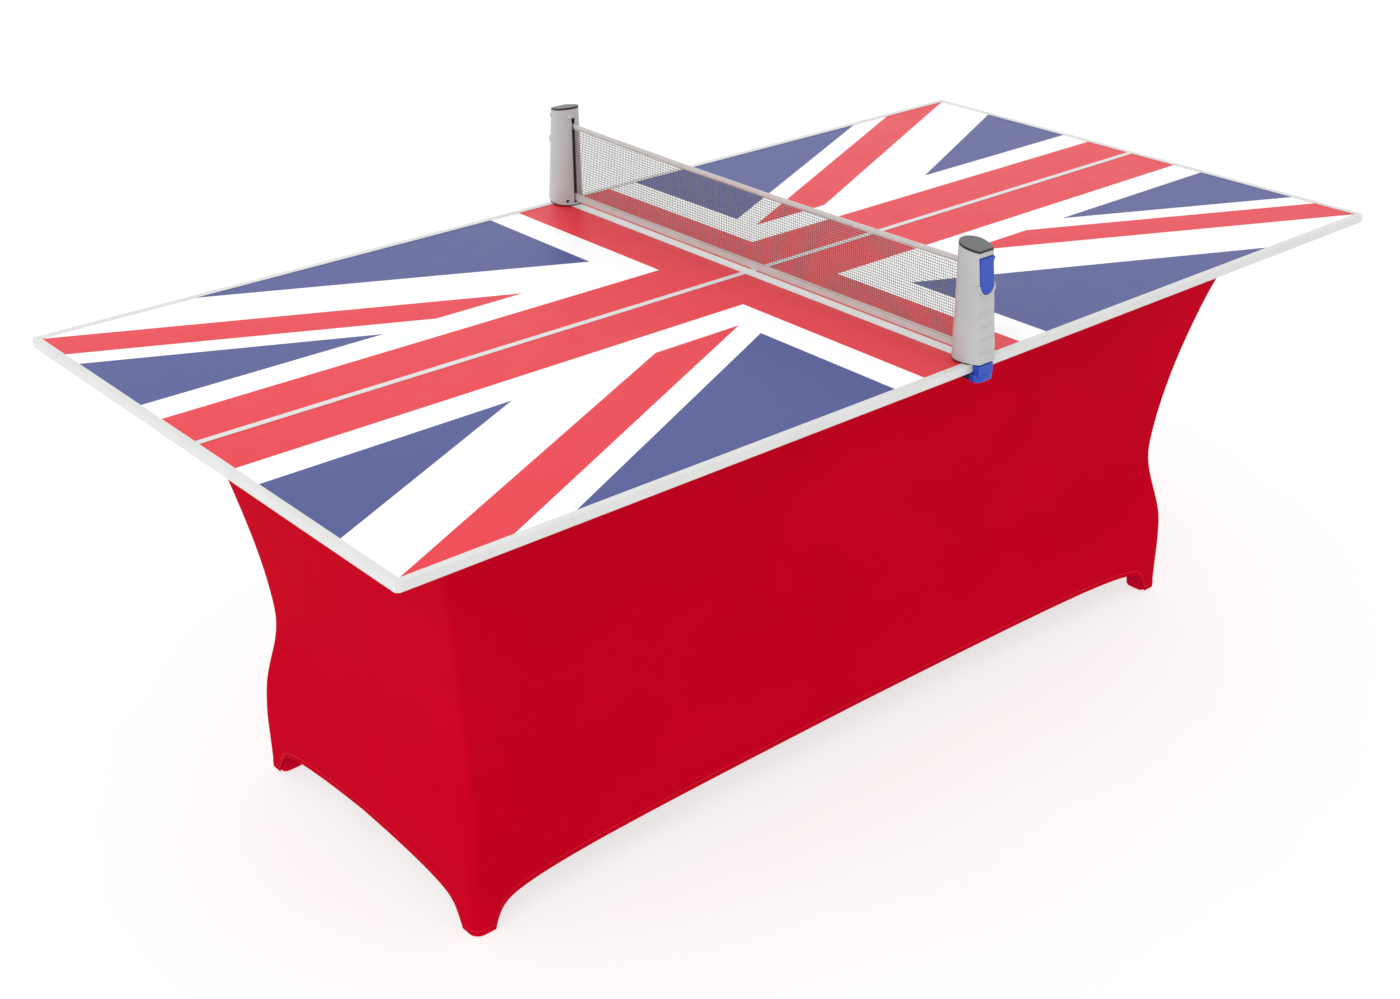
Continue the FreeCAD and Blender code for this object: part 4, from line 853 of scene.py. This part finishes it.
net_length, net_height = net_high.y - net_low.y, net_high.z - net_low.z
net_sizes = {"Length": net_length, "Height": net_height, "Columns": round(net_length / MESH_PITCH) + 1,
             "Rows": round(net_height / MESH_PITCH) + 1, "Twine": TWINE_RADIUS, "Knot": KNOT_RADIUS}
netting = grow("netting", net_tree(), net_sizes)
NET_X = (net_low.x + net_high.x) / 2
netting.data.transform(Matrix.Translation((NET_X, net_low.y, net_low.z)))
print("netting", len(netting.data.polygons), "faces")

# %% [markdown]
# A net is never drawn quite tight: its top edge hangs a few millimetres low in the middle, while the
# bottom edge rests level. One small move of the points does that for the netting, the tapes and the
# stitches alike, so they stay together.

# %% The sag of the net
NET_SAG = 4 * MM


def sag(piece):
    """Lets the upper points of a net piece hang low between the posts."""
    for vert in piece.data.vertices:
        along = (vert.co.y - net_low.y) / net_length
        up = max(0.0, (vert.co.z - net_low.z) / net_height)
        vert.co.z -= NET_SAG * up * math.sin(math.pi * min(1.0, max(0.0, along)))


print("net sag", NET_SAG / MM, "mm")

# %% [markdown]
# A tape is a flat woven band sewn along the edge of the net. It is one closed band with full, rounded edges, cut
# as wide as it shows, and divided into many sections along its length.

# %% Net tapes
TAPE_SECTIONS = 60
TAPE_SIDES = 16
TAPE_WAVE = 0.3 * MM
TAPE_WAVES = 26
FACE_POWER, EDGE_POWER = 0.6, 0.35


def tape(name, node):
    """A rounded band that fills the place of one tape."""
    low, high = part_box(node)
    centre_x, centre_z = (low.x + high.x) / 2, (low.z + high.z) / 2
    half_x, half_z = (high.x - low.x) / 2, (high.z - low.z) / 2
    shape = bmesh.new()
    rings = []
    for i in range(TAPE_SECTIONS + 1):
        y = low.y + (high.y - low.y) * i / TAPE_SECTIONS
        wave = TAPE_WAVE * math.sin(TAPE_WAVES * y) * math.sin(math.pi * i / TAPE_SECTIONS)
        ring = []
        for k in range(TAPE_SIDES):
            angle = math.tau * k / TAPE_SIDES
            x = math.copysign(abs(math.cos(angle)) ** FACE_POWER, math.cos(angle)) * half_x
            z = math.copysign(abs(math.sin(angle)) ** EDGE_POWER, math.sin(angle)) * half_z
            ring.append(shape.verts.new((centre_x + x + wave, y, centre_z + z)))
        rings.append(ring)
    for before, after in zip(rings, rings[1:]):
        for k in range(TAPE_SIDES):
            m = (k + 1) % TAPE_SIDES
            shape.faces.new((before[k], before[m], after[m], after[k]))
    shape.faces.new(rings[0])
    shape.faces.new(rings[-1])
    bmesh.ops.recalc_face_normals(shape, faces=shape.faces)
    mesh = bpy.data.meshes.new(name)
    shape.to_mesh(mesh)
    shape.free()
    mesh.materials.append(net_tape)
    mesh.shade_smooth()
    mesh.set_sharp_from_angle(angle=math.radians(60))
    return object_of(name, mesh)


tape_sewing = sewing_tree("sew_tape", net_twine)
net_pieces = [netting]
TAPES = [("net_tape_top", "net_top_tape", 0.2), ("net_tape_bottom", "net_bottom_tape", 0.8)]
for name, node, seam_share in TAPES:
    low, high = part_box(node)
    band = tape(name, node)
    z = low.z + seam_share * (high.z - low.z)
    seams = []
    for front in (low.x, high.x):
        seam_points = [(front, low.y + (high.y - low.y) * i / TAPE_SECTIONS, z)
                       for i in range(TAPE_SECTIONS + 1)]
        seam_name = name + ("_stitches_left" if front == low.x else "_stitches_right")
        seams.append(grow(seam_name, tape_sewing, STITCH, line_mesh(seam_name, seam_points)))
    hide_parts(node)
    net_pieces += [band] + seams
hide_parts("net_mesh")
for piece in net_pieces:
    sag(piece)
    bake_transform(piece)
print("net pieces", [piece.name for piece in net_pieces])

# %% [markdown]
# The table stands in a white studio: a pale floor, an even white surround that fills every shadow, and
# one broad lamp high on the left, which lights the end wall more than the long wall.

# %% Studio
def studio_floor():
    """A large pale floor."""
    mesh = bpy.data.meshes.new("studio_floor")
    reach = 12.0
    mesh.from_pydata([(-reach, -reach, 0), (reach, -reach, 0), (reach, reach, 0), (-reach, reach, 0)], [],
                     [(0, 1, 2, 3)])
    material, tree, shader, place = start_finish("pale_studio_floor", Roughness=0.9, Specular_IOR_Level=0.1,
                                                 Emission_Strength=0.7)
    shader.inputs["Emission Color"].default_value = linear("#FFFFFF")
    shade = add_node(tree, "ShaderNodeTexNoise", {"Vector": place.outputs["Object"], "Scale": 1.5})
    colour = add_node(tree, "ShaderNodeMix", {0: shade.outputs[0], 6: linear("#969696"), 7: linear("#9C9C9C")},
                      data_type="RGBA")
    tree.links.new(colour.outputs[2], shader.inputs["Base Color"])
    mesh.materials.append(material)
    floor = object_of("studio_floor", mesh)


def soft_lamp(name, place, aim, size, power):
    """A square lamp that faces a point."""
    lamp = bpy.data.lights.new(name, "AREA")
    lamp.size = size
    lamp.energy = power
    stand = object_of(name, lamp)
    stand.location = place
    stand.rotation_euler = (Vector(aim) - Vector(place)).to_track_quat("-Z", "Y").to_euler()


studio_floor()
soft_lamp("key_lamp", (-4.2, -1.6, 3.2), (0, 0, 0.5), 2.6, 45)
soft_lamp("top_lamp", (0.5, 0.5, 4.5), (0, 0, 0.7), 3.0, 6)
world = bpy.data.worlds.new("white_surround")
world.use_nodes = True
world.node_tree.nodes["Background"].inputs["Color"].default_value = (1, 1, 1, 1)
world.node_tree.nodes["Background"].inputs["Strength"].default_value = 1.0
bpy.context.scene.world = world
bpy.context.scene.view_settings.view_transform = "Standard"
print("studio ready")

# %% [markdown]
# The camera stands in front of the near left corner, a little above head height, and looks down along
# the table. Its place and its three angles are all that a tripod sets.

# %% Camera
CAMERA_PLACE = (-2.0516, -2.2693, 1.9020)
CAMERA_TURN, CAMERA_DIP, CAMERA_ROLL = (math.radians(a) for a in (-40.569, 26.884, -0.377))
camera_data = bpy.data.cameras.new("view_camera")
camera_data.lens = 49.866
camera_data.sensor_width = 36.0
camera = object_of("view_camera", camera_data)
forward = Vector((-math.sin(CAMERA_TURN) * math.cos(CAMERA_DIP), math.cos(CAMERA_TURN) * math.cos(CAMERA_DIP),
                  -math.sin(CAMERA_DIP)))
level = Vector((math.cos(CAMERA_TURN), math.sin(CAMERA_TURN), 0))
upward = level.cross(forward)
right = math.cos(CAMERA_ROLL) * level + math.sin(CAMERA_ROLL) * upward
above = -math.sin(CAMERA_ROLL) * level + math.cos(CAMERA_ROLL) * upward
camera.matrix_world = Matrix.Translation(CAMERA_PLACE) @ Matrix((right, above, -forward)).transposed().to_4x4()
bpy.context.scene.camera = camera
print("camera lens", camera_data.lens)
